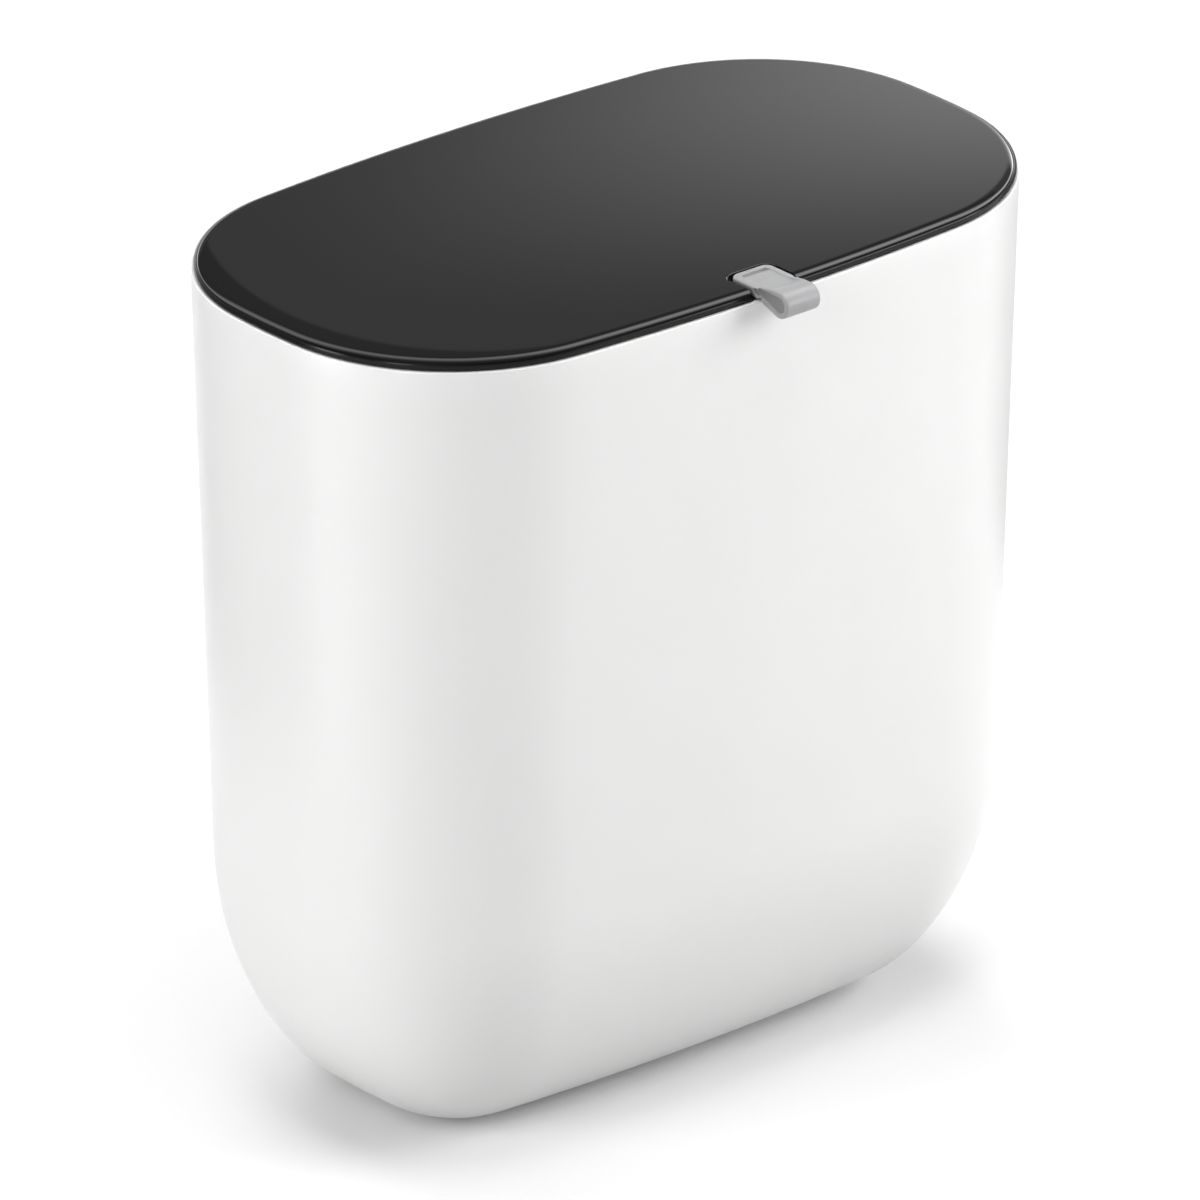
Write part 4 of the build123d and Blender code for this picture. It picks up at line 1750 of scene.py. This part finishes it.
@dataclass(frozen=True)
class Patch:
    """A soft oval of light on the overhead card, which only reflections see.

    Attributes:
        centre: Middle of the oval, in metres.
        half: Half its length and half its width, where its light has died away.
        core: Share of the oval that has the full light.
        strength: Light that it adds.
    """

    centre: Point
    half: Point
    core: float
    strength: float


@dataclass(frozen=True)
class Hoop:
    """A ring of soft light round the lit panel, which draws a line along the rolled edges.

    Attributes:
        radius: Radius of the ring's middle, in metres.
        half: Half its width, where its light has died away.
        weak: Strength where it is weakest, towards -X.
        strong: Strength where it is strongest, towards +X.
        weak_at: X where it is weakest.
        strong_at: X where it is strongest.
    """

    radius: float = 0.79
    half: float = 0.23
    weak: float = 1.9
    strong: float = 4.2
    weak_at: float = 0.0
    strong_at: float = 0.32


@dataclass(frozen=True)
class Panel:
    """The evenly lit part of the overhead card: a rounded end and all that lies behind it.

    Attributes:
        centre: Middle of the rounded end, in metres.
        half: Half the length and half the width of the rounded end.
        turn: Turn of the rounded end, in radians.
        behind: Direction in which the panel goes on.
        start: Distance along that direction where the panel is all lit.
        edge: Width of the blur along its edge, in metres.
        light: Its light.
        beyond: Light of the card outside it.
    """

    centre: Point = (0.4878, 0.6557)
    half: Point = (0.125, 0.0961)
    turn: float = 0.934
    behind: Place = (0.9334, 0.3588, 0.0)
    start: float = 0.6311
    edge: float = 0.0015
    light: float = 0.175
    beyond: float = 0.05


def flat_card(name: str, half: float) -> Object:
    """Make a flat square card that faces up.

    Args:
        name: Name of the card.
        half: Half its width.

    Returns:
        The card.
    """
    mesh = bmesh.new()
    bmesh.ops.create_grid(mesh, x_segments=1, y_segments=1, size=half)
    return object_from(mesh, name)


def hang_for_gloss(card: Object, light: Material) -> None:
    """Give a card its light, and let only reflections see it.

    Args:
        card: The card.
        light: The material that glows.
    """
    card.data.materials.append(light)
    card.visible_camera = False
    card.visible_diffuse = False
    card.visible_transmission = False
    card.visible_shadow = False


def toward(azimuth: float, elevation: float) -> Vector:
    """Direction from the object to a place round it.

    Args:
        azimuth: Angle round the object; 0 is in front.
        elevation: Angle above the horizon.

    Returns:
        A unit vector.
    """
    turn, rise = math.radians(azimuth), math.radians(elevation)
    level = math.cos(rise)
    return Vector((math.sin(turn) * level, -math.cos(turn) * level, math.sin(rise)))


def look_back(holder: Object, back: Vector, front: str = "-Z") -> None:
    """Turn a lamp, a card or the camera to face the object.

    Args:
        holder: What is turned.
        back: Direction from the object to it.
        front: Its own axis that has to face the object.
    """
    holder.rotation_mode = "QUATERNION"
    holder.rotation_quaternion = (-back).to_track_quat(front, "Y")


@dataclass
class Studio:
    """Floor, world, lamps and camera.

    Attributes:
        aim: Point that the camera looks at.
        azimuth: Camera's angle round the object, in degrees.
        elevation: Camera's angle above the horizon, in degrees.
        distance: Camera's distance from the aim.
        lens: Focal length, in millimetres.
        sensor: Width of the sensor, in millimetres.
        clip: Nearest and farthest distance that the camera sees.
        floor_size: Width of the floor.
        floor_colour: Grey of the paper for the light that it throws back.
        paper_colour: Grey of the paper as the camera sees it.
        floor_lift: Light that the paper adds for the camera.
        far_start: Distance from the object where the paper starts to glow white.
        far_end: Distance where it glows in full.
        far_light: Light of that glow.
        world_light: Light of the room.
        card_height: Height of the overhead card.
        card_half: Half its width.
        flag_grain: Width of the blotches on the flags.
        flag_spread: Share by which these vary a flag's light.
        panel: The lit part of the overhead card.
        hoop: The ring of light round it.
        softboxes: The lamps.
        flags: Upright cards for the edges.
        patches: Soft lights on the overhead card.
    """

    aim: Place = (mm(-3.1), 0.0, mm(150.2))
    azimuth: float = -40.21
    elevation: float = 24.3475
    distance: float = 5.6
    lens: float = 531.6
    sensor: float = 36.0
    clip: Point = (0.1, 100.0)
    floor_size: float = 40.0
    floor_colour: float = 0.6
    paper_colour: float = 0.9
    floor_lift: float = 0.04
    far_start: float = 0.7
    far_end: float = 1.7
    far_light: float = 0.85
    world_light: float = 0.01
    card_height: float = 0.635
    card_half: float = 2.5
    flag_grain: float = 0.2
    flag_spread: float = 0.03
    panel: Panel = Panel()
    hoop: Hoop = Hoop()
    softboxes: tuple[Softbox, ...] = (
        Softbox("low_softbox", -105.0, 4.0, 1.5, 0.4, 1.2, 10.4),
        Softbox("key_softbox", -68.0, 25.0, 1.5, 0.3, 1.2, 8.6),
        Softbox("fill_softbox", 46.0, 24.0, 1.5, 0.9, 1.0, 18.3),
        Softbox("top_softbox", 0.0, 88.0, 1.7, 1.2, 1.2, 16.8),
        Softbox("back_softbox", 170.0, 50.0, 1.6, 1.2, 1.0, 14.0),
    )
    flags: tuple[Flag, ...] = (
        Flag("right_flag", 118.0, 0.4, 0.6, 0.28, 0.3),
        Flag("left_flag", -140.0, 0.36, 0.4, 0.28, 0.3),
    )
    patches: tuple[Patch, ...] = (
        Patch((1.3, 0.645), (0.913, 0.287), 0.0, 3.53),
        Patch((-0.75, -0.55), (0.5, 0.4), 0.1, 0.9),
        Patch((-0.8, 0.75), (0.5, 0.4), 0.1, 0.9),
        Patch((0.7, -0.8), (0.5, 0.4), 0.1, 0.9),
    )

    def add_floor(self) -> None:
        """Lay a white floor that reads as white paper where nothing shades it."""
        floor = flat_card("studio_floor", self.floor_size / 2)
        graph = Graph("paper_white")
        seen = graph.background_rays()
        grey, white = ((value,) * 3 for value in (self.floor_colour, self.paper_colour))
        paper = graph.node("ShaderNodeBsdfDiffuse", {"Color": graph.blended(seen, grey, white)})
        away = graph.from_centre((0.0, 0.0), (1.0, 1.0))
        far = graph.eased(away, self.far_start, self.far_end, self.far_light)
        near = graph.ranged(seen, 0.0, self.floor_lift)
        total = graph.maths("ADD", near, graph.maths("MULTIPLY", far, seen))
        lift = graph.node("ShaderNodeEmission", {"Strength": total})
        both = graph.node("ShaderNodeAddShader", {0: paper.outputs[0], 1: lift.outputs[0]})
        below = graph.node("ShaderNodeNewGeometry").outputs["Backfacing"]
        hollow = graph.node("ShaderNodeBsdfTransparent")
        choice = {0: below, 1: both.outputs[0], 2: hollow.outputs[0]}
        floor.data.materials.append(graph.finished(choice, "ShaderNodeMixShader"))

    def add_world(self) -> None:
        """Fill the room with an even light, and show it white to the camera."""
        world = bpy.data.worlds.new("studio_world")
        world.use_nodes = True
        nodes = Nodes(world.node_tree)
        white_colour = (1.0, 1.0, 1.0, 1.0)
        light, white = (
            nodes.node("ShaderNodeBackground", {"Color": white_colour, "Strength": strength})
            for strength in (self.world_light, 1.0)
        )
        choice = {0: nodes.background_rays(), 1: light.outputs[0], 2: white.outputs[0]}
        picked = nodes.node("ShaderNodeMixShader", choice)
        nodes.node("ShaderNodeOutputWorld", {"Surface": picked.outputs[0]})
        bpy.context.scene.world = world

    def add_card(self) -> None:
        """Hang a dark card with soft lights over the bin, for the gloss lid to reflect."""
        card = flat_card("studio_card", self.card_half)
        card.location.z = self.card_height
        graph = Graph("card_light")
        panel, hoop = self.panel, self.hoop
        edge = panel.edge
        end = graph.from_centre(panel.centre, panel.half, panel.turn)
        end_lit = graph.ranged(end, 0, 1, 1 + edge / min(panel.half), 1)
        rest = graph.along(panel.behind)
        rest_lit = graph.ranged(rest, 0, 1, panel.start - edge, panel.start + edge)
        lit = graph.maths("MAXIMUM", end_lit, rest_lit)
        total = graph.ranged(lit, panel.beyond, panel.light)
        reach = graph.from_centre(panel.centre, (1.0, 1.0))
        ring = graph.maths("PINGPONG", reach, hoop.radius)
        glow = graph.eased(ring, hoop.radius - hoop.half, hoop.radius)
        aside = graph.along((1.0, 0.0, 0.0))
        power = graph.ranged(aside, hoop.weak, hoop.strong, hoop.weak_at, hoop.strong_at)
        total = graph.maths("ADD", total, graph.maths("MULTIPLY", glow, power))
        for patch in self.patches:
            reach = graph.from_centre(patch.centre, patch.half)
            glow = graph.eased(reach, 1.0, patch.core, patch.strength)
            total = graph.maths("ADD", total, glow)
        hang_for_gloss(card, graph.finished({"Strength": total}, "ShaderNodeEmission"))

    def add_flag(self, flag: Flag) -> None:
        """Stand one grey card beside the object.

        Args:
            flag: Its place, size and light.
        """
        card = flat_card(flag.name, 0.5)
        back = toward(flag.azimuth, 0.0)
        card.location = back * flag.distance + Vector((0.0, 0.0, flag.height / 2))
        look_back(card, back, "Z")
        card.scale = (flag.width, flag.height, 1.0)
        graph = Graph("flag_grey")
        low, high = (flag.light * (1 + side * self.flag_spread) for side in (-1, 1))
        light = graph.ranged(graph.noise(self.flag_grain), low, high)
        hang_for_gloss(card, graph.finished({"Strength": light}, "ShaderNodeEmission"))

    def add_softbox(self, softbox: Softbox) -> None:
        """Hang one softbox, turned to the object.

        Args:
            softbox: Its place, size and power.
        """
        lamp = bpy.data.lights.new(softbox.name, "AREA")
        lamp.shape = "RECTANGLE"
        lamp.size = softbox.width
        lamp.size_y = softbox.height
        lamp.energy = softbox.power
        holder = bpy.data.objects.new(softbox.name, lamp)
        back = toward(softbox.azimuth, softbox.elevation)
        holder.location = Vector(self.aim) + back * softbox.distance
        look_back(holder, back)
        holder.visible_camera = False
        bpy.context.scene.collection.objects.link(holder)

    def add_camera(self) -> None:
        """Stand the camera at the photograph's angle."""
        data = bpy.data.cameras.new("studio_camera")
        data.lens = self.lens
        data.sensor_width = self.sensor
        data.clip_start, data.clip_end = self.clip
        camera = bpy.data.objects.new("studio_camera", data)
        back = toward(self.azimuth, self.elevation)
        camera.location = Vector(self.aim) + back * self.distance
        look_back(camera, back)
        bpy.context.scene.collection.objects.link(camera)
        bpy.context.scene.camera = camera

    def build(self) -> None:
        """Set the studio up."""
        bpy.context.scene.view_settings.view_transform = "Standard"
        self.add_floor()
        self.add_world()
        self.add_card()
        for softbox in self.softboxes:
            self.add_softbox(softbox)
        for flag in self.flags:
            self.add_flag(flag)
        self.add_camera()


def main() -> None:
    """Build the bin's looks piece by piece, then the studio."""
    logging.basicConfig(level=logging.INFO, format="%(name)s: %(message)s")
    finishes = Finishes()
    body = Body(finishes)
    pieces = [body.build(), LidPanel(body).build()]
    pieces += PullTab(finishes).build() + Screws(finishes).build()
    for piece in pieces:
        log.info("built %s with %d faces", piece.name, len(piece.data.polygons))
    Fittings(finishes).build()
    Studio().build()


if __name__ == "__main__":
    main()
